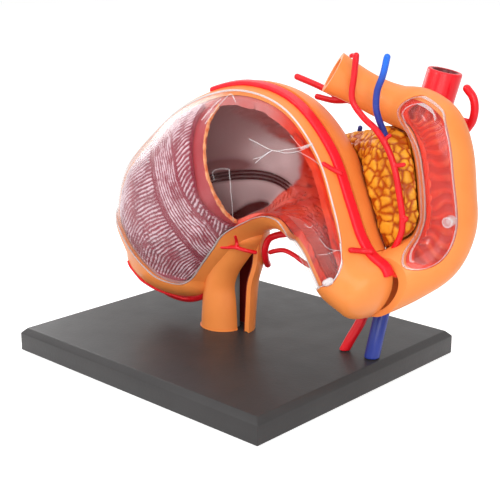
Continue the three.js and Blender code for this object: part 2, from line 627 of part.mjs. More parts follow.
// Back half of the stomach and the organs that stay with it
addNode('stomach_back_shell', 'orange', backShell());
addNode('mucosa_back', 'mucosa', backMucosa());
addNode('left_gastric_artery', 'artery', vessel('left_gastric_artery', backSeats));
addNode('right_gastric_artery', 'artery', vessel('right_gastric_artery', backSeats));
addNode('duodenum_shell', 'orange', duodenumShell());
addNode('duodenum_lining', 'mucosa', duodenumLining());
addNode('duodenum_window', 'clear', duodenumWindow());
addNode('pancreas', 'pancreas', pancreas());
addNode('aorta', 'artery', aorta());
addNode('superior_mesenteric_artery', 'artery', forked('superior_mesenteric_artery', [
  'pancreatic_branch_upper', 'pancreatic_branch_middle', 'pancreatic_branch_lower',
], backSeats));
addNode('superior_mesenteric_vein', 'vein', vessel('superior_mesenteric_vein', backSeats));
addNode('portal_vein', 'vein', standing('portal_vein'));
addNode('hepatic_artery', 'artery', standing('hepatic_artery'));
addNode('colic_artery', 'artery', forked('colic_artery', ['colic_branch'], backSeats));
addNode('inferior_mesenteric_vein', 'vein', vessel('inferior_mesenteric_vein', backSeats));
addNode('side_artery', 'artery', forked('side_artery', ['side_artery_root'], backSeats));

export default group;
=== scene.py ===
"""Stomach anatomy model: the looks of a take-apart teaching model on a base plate.

Sizes are in millimetres in the classes below and in metres on the meshes. +Z is up, +X runs towards
the duodenum, and the clear window of the stomach faces -Y. The seam of its halves is the plane y = 0.
"""
import logging
import math
from dataclasses import dataclass, field
from enum import Enum
from typing import Callable, Iterable, Sequence

import bmesh
import bpy
import numpy as np
from mathutils import Matrix, Vector, kdtree, noise


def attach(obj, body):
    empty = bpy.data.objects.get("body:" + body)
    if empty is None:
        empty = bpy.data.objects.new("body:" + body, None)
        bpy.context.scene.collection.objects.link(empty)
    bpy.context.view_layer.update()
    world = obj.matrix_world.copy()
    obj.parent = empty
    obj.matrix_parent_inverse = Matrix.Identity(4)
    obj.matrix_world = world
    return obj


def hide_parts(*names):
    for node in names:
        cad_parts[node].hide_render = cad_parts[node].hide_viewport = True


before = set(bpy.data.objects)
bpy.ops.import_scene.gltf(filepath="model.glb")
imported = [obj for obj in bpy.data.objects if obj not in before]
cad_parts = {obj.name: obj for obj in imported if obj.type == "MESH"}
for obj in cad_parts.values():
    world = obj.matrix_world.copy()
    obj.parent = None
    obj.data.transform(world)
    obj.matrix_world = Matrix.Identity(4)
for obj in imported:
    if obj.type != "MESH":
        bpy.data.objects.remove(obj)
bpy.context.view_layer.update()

LOG = logging.getLogger("stomach_model")

# A millimetre in metres, then lengths in millimetres that several pieces share
MM = 0.001
FAR = 200.0
FIT_GAP = 0.3
SEAM_GAP = 0.3
SHELL_WALL = 2.2

# How near vertices are merged and slivers removed, in millimetres
SAME_PLACE = 0.001
WELD = 0.01
SLIVER = 0.005

# Cells of flat faces, cut along X and Z within the organ's span and off its round sizes
ORGAN_SPAN = (-70.0, 125.0)
SLICE_TOLERANCE = 0.0001
OFF_SIZE = 0.0137
BOX_CUTS = 47

# Fall, spread and number of octaves of the soft random values
OCTAVES = (0.8, 2.0, 3)

# Leans of the rings in the round end of a pipe
CAP_LEANS = np.radians(np.arange(15, 91, 15))

Station = tuple[tuple[float, float], tuple[float, float], float, float, float]
PipeStation = tuple[float, float, float, float]
Outline = Sequence[tuple[float, float]]
Notes = dict[str, np.ndarray]
Shift = Callable[[np.ndarray, np.ndarray], tuple[np.ndarray, Notes]]
Socket = bpy.types.NodeSocket


class Body(Enum):
    """Bodies of the model that move on their own."""

    STAND = "stand"
    ORGAN = "organ"
    FRONT = "front_half"
    STOMACH_WINDOW = "stomach_window_body"
    DUODENUM_WINDOW = "duodenum_window_body"


class Join(Enum):
    """Ways in which one solid shapes another."""

    ADD = "UNION"
    CUT = "DIFFERENCE"
    KEEP = "INTERSECT"


# Curves and solids


def smooth_through(points: Sequence[Sequence[float]], at: np.ndarray) -> np.ndarray:
    """Smooth curve that passes through every point.

    Args:
        points: The points, each with as many numbers as the curve has axes.
        at: Where to read the curve, from 0 at the first point to 1 at the last.

    Returns:
        One row of numbers for each value of `at`.
    """
    knots = np.asarray(points, float)
    last = len(knots) - 1
    place = np.clip(np.asarray(at, float), 0, 1) * last
    index = np.clip(np.floor(place).astype(int), 0, last - 1)
    share = (place - index)[..., None]
    ends = np.vstack([2 * knots[0] - knots[1], knots, 2 * knots[-1] - knots[-2]])
    before, start, end, after = (ends[index + step] for step in range(4))

    def spacing(a: np.ndarray, b: np.ndarray, least: float = 1e-4) -> np.ndarray:
        """Square root of the distance between points, never nothing."""
        return np.maximum(np.sum((a - b) ** 2, axis=-1, keepdims=True) ** 0.25, least)

    first, middle, final = spacing(before, start), spacing(start, end), spacing(end, after)
    leave = (start - before) / first - (end - before) / (first + middle) + (end - start) / middle
    arrive = (end - start) / middle - (after - start) / (middle + final) + (after - end) / final
    leave, arrive = leave * middle, arrive * middle
    return (start + share * leave + share**2 * (3 * (end - start) - 2 * leave - arrive)
            + share**3 * (2 * (start - end) + leave + arrive))


def values_along(values: Sequence[float], at: np.ndarray) -> np.ndarray:
    """Smooth value between the values of evenly timed stations."""
    return smooth_through(list(enumerate(values)), at)[..., 1]


def eased(value: np.ndarray, low: float, high: float) -> np.ndarray:
    """Share of the way from `low` to `high`, with soft ends."""
    share = np.clip((value - low) / (high - low), 0, 1)
    return share * share * (3 - 2 * share)


def clouds(points: np.ndarray, size: float, shift: float = 0) -> np.ndarray:
    """Soft random values of about -1 to 1 at points, with features of about `size`."""
    return np.array([noise.fractal(Vector(point), *OCTAVES) for point in points / size + shift])


def rounded(outline: Outline, count: int) -> np.ndarray:
    """Closed smooth outline.

    Args:
        outline: Corners that it passes through.
        count: How many points it gets.

    Returns:
        The points.
    """
    closed = [outline[-2], outline[-1], *outline, outline[0], outline[1]]
    spans = len(closed) - 1
    low, high = 2 / spans, (2 + len(outline)) / spans
    return smooth_through(closed, np.linspace(low, high, count, endpoint=False))


class Solid:
    """Closed mesh in the model's frame, with the cuts and joins that shape it."""

    bench: list["Solid"] = []

    def __init__(self, name: str, bm: bmesh.types.BMesh) -> None:
        """Takes a mesh over.

        Args:
            name: Its name.
            bm: The mesh, with its lengths in millimetres.
        """
        bmesh.ops.transform(bm, matrix=Matrix.Scale(MM, 4), verts=bm.verts)
        mesh = bpy.data.meshes.new(name)
        bm.to_mesh(mesh)
        bm.free()
        self.object = bpy.data.objects.new(name, mesh)
        bpy.context.scene.collection.objects.link(self.object)
        Solid.bench.append(self)

    def shaped(self, *steps: tuple[Join, "Solid"]) -> "Solid":
        """Joins, cuts or keeps parts of this solid with others, one after another.

        Args:
            steps: Each way of joining with the solid that it takes.

        Returns:
            This solid, with its new mesh.
        """
        for way, other in steps:
            change = self.object.modifiers.new(way.name, "BOOLEAN")
            change.operation = way.value
            change.object = other.object
            change.solver = "MANIFOLD"
        graph = bpy.context.evaluated_depsgraph_get()
        mesh = bpy.data.meshes.new_from_object(self.object.evaluated_get(graph))
        self.object.modifiers.clear()
        old, self.object.data = self.object.data, mesh
        bpy.data.meshes.remove(old)
        return self

    def moved(self, shift: Shift) -> "Solid":
        """Moves the vertices and notes values on them.

        Args:
            shift: Takes the vertices and their normals, in millimetres, and returns the new
                places and the values to note by name.

        Returns:
            This solid.
        """
        mesh = self.object.data
        count = len(mesh.vertices)
        places, normals = np.zeros(count * 3), np.zeros(count * 3)
        mesh.vertices.foreach_get("co", places)
        mesh.vertices.foreach_get("normal", normals)
        places, notes = shift(places.reshape(-1, 3) / MM, normals.reshape(-1, 3))
        mesh.vertices.foreach_set("co", (places * MM).ravel())
        for name, values in notes.items():
            layer = mesh.attributes.new(name, "FLOAT", "POINT")
            layer.data.foreach_set("value", np.asarray(values, float))
        mesh.update()
        return self

    def finished(self, material: bpy.types.Material, sharp: float = 34.0) -> bpy.types.Object:
        """Shades the solid smooth, apart from its sharp edges, and dresses it.

        Args:
            material: The finish that the whole piece takes.
            sharp: Least angle of an edge that stays sharp, in degrees.

        Returns:
            The object, which is a piece from now on.
        """
        mesh = self.object.data
        bm = bmesh.new()
        bm.from_mesh(mesh)
        bmesh.ops.triangulate(bm, faces=[face for face in bm.faces if len(face.verts) > 4])
        bmesh.ops.remove_doubles(bm, verts=bm.verts, dist=WELD * MM)
        bmesh.ops.dissolve_degenerate(bm, edges=bm.edges, dist=SLIVER * MM)
        bmesh.ops.collapse(bm, edges=[edge for edge in bm.edges if not edge.is_manifold])
        loose = [vertex for vertex in bm.verts if not vertex.link_faces]
        bmesh.ops.delete(bm, geom=loose, context="VERTS")
        for face in bm.faces:
            face.smooth = True
        limit = math.radians(sharp)
        for edge in bm.edges:
            edge.smooth = len(edge.link_faces) == 2 and edge.calc_face_angle(0) < limit
        bm.to_mesh(mesh)
        bm.free()
        mesh.materials.clear()
        mesh.materials.append(material)
        Solid.bench.remove(self)
        return self.object

    @classmethod
    def clear_bench(cls) -> None:
        """Throws away the solids that only cut or shaped others."""
        for solid in cls.bench:
            bpy.data.objects.remove(solid.object)
        cls.bench.clear()


def skin_over(rings: np.ndarray, name: str) -> Solid:
    """Closed skin over rings of points.

    Args:
        rings: Points in millimetres, as rings x points x 3. A ring of one place closes an end,
            and an open end gets a flat cap.
        name: Name of the solid.

    Returns:
        The solid, with its faces pointing outwards.
    """
    count, sides = rings.shape[:2]
    bm = bmesh.new()
    bmesh.ops.create_grid(bm, x_segments=sides, y_segments=count - 1, size=1)
    for vert in bm.verts:
        side = round((vert.co.x + 1) / 2 * sides) % sides
        ring = round((vert.co.y + 1) / 2 * (count - 1))
        vert.co = rings[ring, side]
    bmesh.ops.remove_doubles(bm, verts=bm.verts, dist=SAME_PLACE)
    bmesh.ops.holes_fill(bm, edges=[edge for edge in bm.edges if edge.is_boundary])
    bmesh.ops.recalc_face_normals(bm, faces=bm.faces)
    return Solid(name, bm)


def block(low: Sequence[float], high: Sequence[float], cuts: int = 0) -> Solid:
    """Box between two corners.

    Args:
        low: Its lowest corner, in millimetres.
        high: Its highest corner.
        cuts: How often each edge is cut, so that no face closes round a hole.

    Returns:
        The solid.
    """
    bm = bmesh.new()
    bmesh.ops.create_cube(bm, size=1)
    if cuts:
        bmesh.ops.subdivide_edges(bm, edges=bm.edges[:], cuts=cuts, use_grid_fill=True)
    size, middle = np.subtract(high, low), np.add(high, low) / 2
    bmesh.ops.scale(bm, vec=Vector(size), verts=bm.verts)
    bmesh.ops.translate(bm, vec=Vector(middle), verts=bm.verts)
    return Solid("block", bm)


def pushed(corners: Iterable[Sequence[float]], shift: Sequence[float], pitch: float = 5.0) -> Solid:
    """Flat outline pushed out into a solid, with its faces cut into cells.

    Args:
        corners: The outline's corners, in millimetres.
        shift: How far and which way the outline is pushed.
        pitch: Size of the cells along X and Z, so that no face closes round a hole.

    Returns:
        The solid.
    """
    bm = bmesh.new()
    face = bm.faces.new([bm.verts.new(corner) for corner in corners])
    grown = bmesh.ops.extrude_face_region(bm, geom=[face])["geom"]
    raised = [item for item in grown if isinstance(item, bmesh.types.BMVert)]
    bmesh.ops.translate(bm, vec=shift, verts=raised)
    bmesh.ops.recalc_face_normals(bm, faces=bm.faces)
    for axis in (0, 2):
        normal = Vector([float(axis == k) for k in range(3)])
        places = [vert.co[axis] for vert in bm.verts]
        first, last = max(min(places), ORGAN_SPAN[0]), min(max(places), ORGAN_SPAN[1])
        for place in np.arange(first + pitch, last, pitch):
            bmesh.ops.bisect_plane(bm, geom=bm.verts[:] + bm.edges[:] + bm.faces[:], dist=SLICE_TOLERANCE,
                                   plane_co=normal * (place + OFF_SIZE), plane_no=normal)
    bmesh.ops.triangulate(bm, faces=[face for face in bm.faces if len(face.verts) > 4])
    return Solid("cutter", bm)


def slab(outline: np.ndarray, y0: float, y1: float) -> Solid:
    """Prism along Y over an outline of (x, z) points."""
    return pushed([(x, y0, z) for x, z in outline], (0, y1 - y0, 0))


def drawn_in(outline: np.ndarray, inset: float) -> np.ndarray:
    """Closed outline that is moved towards its inside.

    Args:
        outline: The outline's points.
        inset: How far it moves, less than 0 to the outside.

    Returns:
        The moved points.
    """
    ahead, behind = np.roll(outline, -1, 0) - outline, outline - np.roll(outline, 1, 0)
    along = ahead / np.linalg.norm(ahead, axis=1)[:, None] + behind / np.linalg.norm(behind, axis=1)[:, None]
    along /= np.linalg.norm(along, axis=1)[:, None]
    across = np.stack([-along[:, 1], along[:, 0]], 1)
    x, z = outline[:, 0], outline[:, 1]
    turn = np.sign(np.sum(x * np.roll(z, -1) - np.roll(x, -1) * z))
    return outline + across * inset * turn


# The forms of the organs


@dataclass
class StomachForm:
    """The stomach's skin: its two curvatures, its depth each way and its step at the seam.

    A station holds a point on the greater curvature and one on the lesser, both as (x, z), the
    depth of the front half and of the back half, and how far the back half stands out.
    """

    stations: Sequence[Station] = (
        ((-57.5, 35.5), (-8, 28.5), 18.5, 17, 0), ((-62, 50.5), (-1.5, 36), 23, 20, 0),
        ((-56.5, 69.3), (4.5, 42), 25, 22, 0), ((-39.8, 86.3), (10.5, 48), 24.5, 23, 0),
        ((-17.3, 101.3), (17, 53), 25.3, 23, 0.2), ((9.3, 108.5), (23, 55.3), 25, 23, 1.2),
        ((32, 104), (29.5, 56), 24, 22, 1.8), ((49, 88.5), (35.5, 54.5), 21.5, 20, 1.8),
        ((58, 70.3), (41, 50), 19.5, 18, 1.5), ((63, 59.5), (46, 42.5), 18.5, 16, 1.2),
        ((67.5, 54), (51.5, 35), 17.5, 14.5, 0.8), ((73, 51), (59.5, 30), 15.5, 13.5, 0.5),
    )
    fundus_dome: float = 13
    pylorus_dome: float = 7.5
    guide_rows: int = 120
    guide_sides: int = 121

    @property
    def spans(self) -> int:
        """Number of stretches between the stations."""
        return len(self.stations) - 1

    def place(self, at: np.ndarray, angle: np.ndarray, inset: float = 0, stepped: bool = False,
              shrink: np.ndarray | float = 1, rise: np.ndarray | float = 0) -> np.ndarray:
        """Points of the skin.

        Args:
            at: Way along the stomach, from 0 at the fundus to 1 at the pylorus.
            angle: Way round it, 0 on the greater curvature, negative to the front.
            inset: How far inside the outer face the points lie.
            stepped: Whether the back half's larger outline is meant.
            shrink: Share of the section's size that is kept, less than 1 in a dome.
            rise: How far past the end section the points lie, in a dome.

        Returns:
            The points, in millimetres.
        """
        greater = smooth_through([s[0] for s in self.stations], at)
        lesser = smooth_through([s[1] for s in self.stations], at)
        front, back, step = (values_along([s[k] for s in self.stations], at) for k in (2, 3, 4))
        step = step * stepped
        across = greater - lesser
        length = np.linalg.norm(across, axis=-1)
        across = across / length[..., None]
        centre = (greater + lesser) / 2 + across * (step / 2)[..., None]
        half = (length / 2 + step / 2 - inset) * shrink
        depth = (np.where(np.sin(angle) < 0, front, back) - inset) * shrink
        reach = half * np.cos(angle)
        return np.stack([
            centre[..., 0] + across[..., 0] * reach + across[..., 1] * rise,
            depth * np.sin(angle),
            centre[..., 1] + across[..., 1] * reach - across[..., 0] * rise,
        ], -1)

    def rings(self, inset: float, stepped: bool = False, sides: int = 96, rows: int = 110,
              until: float = 1.0, dome_rows: int = 10) -> np.ndarray:
        """Rings of the whole skin, or of the skin up to a way along it.

        Args:
            inset: How far inside the outer face the skin lies.
            stepped: Whether the back half's larger outline is meant.
            sides: Points on each ring.
            rows: Rings between the domes.
            until: Way along the stomach where the skin ends, with a flat cap before the pylorus.
            dome_rows: Rings of each dome.

        Returns:
            The points as rings x sides x 3.
        """
        lean = np.radians(np.linspace(90, 0, dome_rows, endpoint=False))
        step = self.stations[-1][4] * stepped
        at = np.concatenate([np.zeros(dome_rows), np.linspace(0, until, rows)])
        shrink = np.concatenate([np.cos(lean), np.ones(rows)])
        rise = np.concatenate([-(self.fundus_dome - inset) * np.sin(lean), np.zeros(rows)])
        if until == 1:
            at = np.concatenate([at, np.ones(dome_rows)])
            shrink = np.concatenate([shrink, np.cos(lean[::-1])])
            rise = np.concatenate([rise, (self.pylorus_dome + step - inset) * np.sin(lean[::-1])])
        angle = np.linspace(0, 2 * np.pi, sides, endpoint=False)
        angle = (angle + np.pi) % (2 * np.pi) - np.pi
        grid = [np.broadcast_to(v[:, None], (len(at), sides)) for v in (at, shrink, rise)]
        turns = np.broadcast_to(angle[None, :], (len(at), sides))
        return self.place(grid[0], turns, inset, stepped, grid[1], grid[2])

    def skin(self, inset: float, stepped: bool = False, **detail: float) -> Solid:
        """Closed skin of the stomach, `inset` inside its outer face."""
        return skin_over(self.rings(inset, stepped, **detail), "stomach_skin")

    def where(self, points: np.ndarray, inset: float, stepped: bool = False) -> tuple[np.ndarray, np.ndarray]:
        """Way along and round the skin of points that lie on or near it.

        Args:
            points: The points, in millimetres.
            inset: How far inside the outer face they lie.
            stepped: Whether they lie on the back half's larger outline.

        Returns:
            The way along, counted in stations, and the way round, in degrees.
        """
        rows, sides = np.linspace(0, 1, self.guide_rows), np.linspace(-np.pi, np.pi, self.guide_sides)
        along, turned = (grid.ravel() for grid in np.meshgrid(rows, sides, indexing="ij"))
        guide = self.place(along, turned, inset, stepped)
        tree = kdtree.KDTree(len(guide))
        for index, point in enumerate(guide):
            tree.insert(point, index)
        tree.balance()
        nearest = np.array([tree.find(point)[1] for point in points])
        at, angle = along[nearest].copy(), turned[nearest].copy()
        nudge, rounds, least = 1e-4, 3, 1e-9
        for _ in range(rounds):
            here = self.place(at, angle, inset, stepped)
            slope_at = (self.place(at + nudge, angle, inset, stepped) - here) / nudge
            back = (here - self.place(at - nudge, angle, inset, stepped)) / nudge
            slope_at = np.where((at > 1 - nudge)[:, None], back, slope_at)
            slope_angle = (self.place(at, angle + nudge, inset, stepped) - here) / nudge
            miss = points - here
            a11, a22 = np.sum(slope_at**2, 1), np.sum(slope_angle**2, 1)
            a12 = np.sum(slope_at * slope_angle, 1)
            b1, b2 = np.sum(slope_at * miss, 1), np.sum(slope_angle * miss, 1)
            spread = np.maximum(a11 * a22 - a12**2, least)
            at = np.clip(at + (a22 * b1 - a12 * b2) / spread, 0, 1)
            angle = angle + (a11 * b2 - a12 * b1) / spread
        return at * self.spans, np.degrees(angle)


@dataclass
class PipeForm:
    """Tapering round pipe through stations of a centre point and a radius."""

    stations: Sequence[PipeStation]
    sides: int = 40
    per_span: int = 8
    cap_height: tuple[float, float] = (0.0, 0.0)

    def axis(self, at: np.ndarray) -> tuple[np.ndarray, np.ndarray, np.ndarray]:
        """The pipe's middle line.

        Args:
            at: Way along it, from 0 to 1.

        Returns:
            The centre, the direction and the radius at each place.
        """
        points = [s[:3] for s in self.stations]
        centre = smooth_through(points, at)
        nudge = 1e-3
        along = smooth_through(points, at + nudge) - smooth_through(points, at - nudge)
        along /= np.linalg.norm(along, axis=-1, keepdims=True)
        return centre, along, values_along([s[3] for s in self.stations], at)

    def rings(self, inset: float = 0) -> np.ndarray:
        """Rings of the pipe's skin.

        Args:
            inset: How far inside the outer face the skin lies.

        Returns:
            The points as rings x sides x 3.
        """
        at = np.linspace(0, 1, (len(self.stations) - 1) * self.per_span + 1)
        centre, along, radius = self.axis(at)
        radius = radius - inset
        runs_along_y = abs(along[0][1]) > 0.8
        side = np.array([1.0, 0, 0]) if runs_along_y else np.array([0, 1.0, 0])
        angle = np.linspace(0, 2 * np.pi, self.sides, endpoint=False)
        rings = []
        for index in range(len(at)):
            side = side - along[index] * side.dot(along[index])
            side /= np.linalg.norm(side)
            other = np.cross(side, along[index])
            spokes = np.outer(np.sin(angle), side) - np.outer(np.cos(angle), other)
            rings.append(centre[index] + spokes * radius[index])
            end = index == len(at) - 1
            height = self.cap_height[1] if end else self.cap_height[0]
            if height and (end or index == 0):
                reach = along[index] * (height - inset) * (1 if end else -1)
                dome = [centre[index] + reach * math.sin(lean) + spokes * radius[index] * math.cos(lean)
                        for lean in CAP_LEANS]
                rings = rings + dome if end else dome[::-1] + rings
        return np.array(rings)

    def skin(self, inset: float = 0) -> Solid:
        """Closed skin of the pipe, `inset` inside its outer face."""
        return skin_over(self.rings(inset), "pipe")


@dataclass
class NeckForm:
    """Lower end of the oesophagus: sections of (x, z, half the width, depth)."""

    stations: Sequence[PipeStation]
    sides: int = 72

    def skin(self, inset: float, bottom: float, rows: int = 30) -> Solid:
        """Closed skin of the neck, up into the stomach.

        Args:
            inset: How far inside the outer face the skin lies.
            bottom: Height of its lower end.
            rows: Rings along it.

        Returns:
            The solid.
        """
        at = np.linspace(0, 1, rows)
        x, z, half, depth = smooth_through(self.stations, at).T
        z = np.where(at == 0, bottom, z)
        angle = np.linspace(0, 2 * np.pi, self.sides, endpoint=False)
        rings = np.stack([
            x[:, None] + (half - inset)[:, None] * np.cos(angle),
            (depth - inset)[:, None] * np.sin(angle),
            np.broadcast_to(z[:, None], (rows, self.sides)),
        ], -1)
        return skin_over(rings, "neck")


# Finishes


class Paint:
    """Node tree of one finish, built step by step."""

    def __init__(self, name: str) -> None:
        """Starts an empty material with one surface shader.

        Args:
            name: Its name.
        """
        self.material = bpy.data.materials.new(name)
        self.material.use_nodes = True
        self.tree = self.material.node_tree
        self.tree.nodes.clear()
        self.output = self.tree.nodes.new("ShaderNodeOutputMaterial")
        self.shader = self.tree.nodes.new("ShaderNodeBsdfPrincipled")
        self.tree.links.new(self.shader.outputs[0], self.output.inputs["Surface"])
        self.place = self.tree.nodes.new("ShaderNodeTexCoord").outputs["Object"]

    def set(self, **values: float) -> None:
        """Sets plain values of the surface shader, with _ for each space in a name."""
        for name, value in values.items():
            self.shader.inputs[name.replace("_", " ")].default_value = value

    def link(self, source: Socket, name: str) -> None:
        """Feeds a socket of the surface shader."""
        self.tree.links.new(source, self.shader.inputs[name])

    def noise(self, scale: float, detail: float = 3, stretch: Sequence[float] = (1, 1, 1)) -> Socket:
        """Soft random pattern.

        Args:
            scale: Waves per metre.
            detail: Finer patterns in it.
            stretch: Share of the scale that each axis takes.

        Returns:
            The pattern, from 0 to 1.
        """
        mapping = self.tree.nodes.new("ShaderNodeMapping")
        mapping.inputs["Scale"].default_value = stretch
        self.tree.links.new(self.place, mapping.inputs["Vector"])
        node = self.tree.nodes.new("ShaderNodeTexNoise")
        node.inputs["Scale"].default_value = scale
        node.inputs["Detail"].default_value = detail
        self.tree.links.new(mapping.outputs[0], node.inputs["Vector"])
        return node.outputs["Fac"]

    def note(self, name: str) -> Socket:
        """Value noted on the piece's vertices.

        Args:
            name: What it was noted as.

        Returns:
            The value.
        """
        node = self.tree.nodes.new("ShaderNodeAttribute")
        node.attribute_name = name
        return node.outputs["Fac"]

    def between(self, value: Socket, low: float, high: float) -> Socket:
        """Share of the way between two values, with soft ends.

        Args:
            value: What is compared.
            low: Where the share is 0.
            high: Where the share is 1.

        Returns:
            The share.
        """
        node = self.tree.nodes.new("ShaderNodeMapRange")
        node.interpolation_type = "SMOOTHSTEP"
        node.inputs["From Min"].default_value = low
        node.inputs["From Max"].default_value = high
        self.tree.links.new(value, node.inputs["Value"])
        return node.outputs["Result"]

    def maths(self, kind: str, a: Socket, b: Socket | float) -> Socket:
        """Result of one sum on two values.

        Args:
            kind: The node's operation.
            a: Left value.
            b: Right value.

        Returns:
            The result.
        """
        node = self.tree.nodes.new("ShaderNodeMath")
        node.operation = kind
        self.tree.links.new(a, node.inputs[0])
        if isinstance(b, (int, float)):
            node.inputs[1].default_value = b
        else:
            self.tree.links.new(b, node.inputs[1])
        return node.outputs[0]

    def mix(self, share: Socket, a: Socket | str, b: Socket | str) -> Socket:
        """Colour between two others.

        Args:
            share: How much of the second colour is in it.
            a: First colour, as a socket or a six-figure code.
            b: Second colour.

        Returns:
            The colour.
        """
        node = self.tree.nodes.new("ShaderNodeMix")
        node.data_type = "RGBA"
        self.tree.links.new(share, node.inputs["Factor"])
        for socket, colour in ((node.inputs[6], a), (node.inputs[7], b)):
            if isinstance(colour, bpy.types.NodeSocket):
                self.tree.links.new(colour, socket)
            else:
                socket.default_value = (*paint_colour(colour), 1)
        return node.outputs[2]

    def bump(self, height: Socket, depth: float) -> "Paint":
        """Raises the surface by a pattern.

        Args:
            height: The pattern.
            depth: How high it raises the surface, in millimetres.

        Returns:
            This paint.
        """
        node = self.tree.nodes.new("ShaderNodeBump")
        node.inputs["Distance"].default_value = depth * MM
        self.tree.links.new(height, node.inputs["Height"])
        self.tree.links.new(node.outputs[0], self.shader.inputs["Normal"])
        return self


def paint_colour(code: str) -> tuple[float, float, float]:
    """Linear colour of a six-figure colour code."""
    parts = [int(code[k:k + 2], 16) / 255 for k in (0, 2, 4)]
    return tuple(p / 12.92 if p <= 0.04045 else ((p + 0.055) / 1.055) ** 2.4 for p in parts)


@dataclass(frozen=True)
class PaintedPlastic:
    """Hand-painted moulded plastic: a main colour, a deeper one in soft clouds, and a satin face."""

    name: str
    main: str
    deep: str
    roughness: float = 0.36
    cloud_scale: float = 45.0
    cloud_share: float = 0.5
    grain_depth: float = 0.03
    coat: float = 0.25
    accent: str = ""

    def material(self) -> bpy.types.Material:
        """Builds the finish.

        Returns:
            The material, with the accent colour where the piece notes it.
        """
        paint = Paint(self.name)
        soft = paint.between(paint.noise(self.cloud_scale, 4), 0.35, 0.75)
        share = paint.maths("MULTIPLY", soft, self.cloud_share)
        streaks = paint.between(paint.noise(260, 2, (1, 1, 0.35)), 0.45, 0.8)
        share = paint.maths("ADD", share, paint.maths("MULTIPLY", streaks, 0.1))
        colour = paint.mix(share, self.main, self.deep)
        if self.accent:
            colour = paint.mix(paint.note("accent"), colour, self.accent)
        paint.link(colour, "Base Color")
        rough = paint.maths("ADD", paint.maths("MULTIPLY", paint.noise(90, 3), 0.16), self.roughness - 0.08)
        paint.link(rough, "Roughness")
        paint.set(Coat_Weight=self.coat * 0.4, Coat_Roughness=0.12, Specular_IOR_Level=0.22)
        return paint.bump(paint.noise(900, 3), self.grain_depth).material


@dataclass(frozen=True)
class LayeredRelief:
    """Relief whose raised parts are dry-brushed pale over a deep ground."""

    name: str
    ground: str
    raised: str
    note: str
    low: float = 0.15
    high: float = 0.95
    roughness: float = 0.34
    patch: str = "9a4a5c"
    wear: float = 0.5

    def material(self) -> bpy.types.Material:
        """Builds the finish.

        Returns:
            The material.
        """
        paint = Paint(self.name)
        height = paint.note(self.note)
        rubbed = paint.maths("ADD", paint.noise(900, 4), paint.maths("MULTIPLY", paint.noise(110, 4), 1.2))
        worn = paint.maths("MULTIPLY", paint.maths("SUBTRACT", rubbed, 1.1), self.wear)
        worn = paint.maths("ADD", height, worn)
        ground = paint.mix(paint.between(paint.noise(70, 3), 0.35, 0.7), self.ground, self.patch)
        paint.link(paint.mix(paint.between(worn, self.low, self.high), ground, self.raised), "Base Color")
        paint.set(Roughness=self.roughness, Specular_IOR_Level=0.25, Coat_Weight=0.1, Coat_Roughness=0.15)
        return paint.bump(paint.noise(1500, 3), 0.04).material


@dataclass(frozen=True)
class LiningPaint:
    """Glossy lining: grey-mauve in the body of the stomach, with painted light and shade there, red at its
    outlet, burgundy at its inlet.
    """

    name: str = "mucosa_lining"
    # body and light are a shaded and a lit copy of the lining's colour, which the light note mixes as painted
    # light and shade
    body: str = "a87070"
    light: str = "ffe2e2"
    muted: str = "c88684"
    crease: str = "62181a"
    outlet: str = "d42c14"
    outlet_light: str = "e4421e"
    outlet_crease: str = "9c1c10"
    arch: str = "ff7868"
    arch_crease: str = "e24a36"
    inlet: str = "6c1010"
    sway: float = 0.9
    streak_share: float = 0.5

    def material(self) -> bpy.types.Material:
        """Builds the finish from the notes that the lining's relief leaves on its piece.

        Returns:
            The material.
        """
        paint = Paint(self.name)
        height = paint.note("fold")
        sway = paint.maths("MULTIPLY", paint.maths("SUBTRACT", paint.noise(110, 5), 0.5), self.sway)
        # Painted light and shade: the light note takes the body colour towards its lit copy
        body = paint.mix(paint.note("light"), self.body, self.light)
        body = paint.mix(paint.between(height, 0.02, 0.42), self.crease, body)
        red = paint.mix(paint.between(paint.noise(170, 4), 0.42, 0.72), self.outlet, self.outlet_light)
        red = paint.mix(paint.between(height, 0.1, 0.75), self.outlet_crease, red)
        streaks = paint.between(paint.noise(130, 5, (1, 1, 0.5)), 0.3, 0.8)
        streaks = paint.maths("MULTIPLY", streaks, self.streak_share)
        red = paint.mix(paint.note("bright"), paint.mix(streaks, self.muted, self.outlet), red)
        tops = paint.mix(paint.between(height, 0.15, 0.6), self.arch_crease, self.arch)
        share = paint.between(paint.maths("ADD", paint.note("red"), sway), 0.25, 0.75)
        colour = paint.mix(paint.note("arch"), paint.mix(share, body, red), tops)
        paint.link(paint.mix(paint.note("inlet"), colour, self.inlet), "Base Color")
        paint.set(Roughness=0.3, Specular_IOR_Level=0.1, Coat_Weight=0.04, Coat_Roughness=0.18)
        return paint.bump(paint.noise(600, 4), 0.06).material


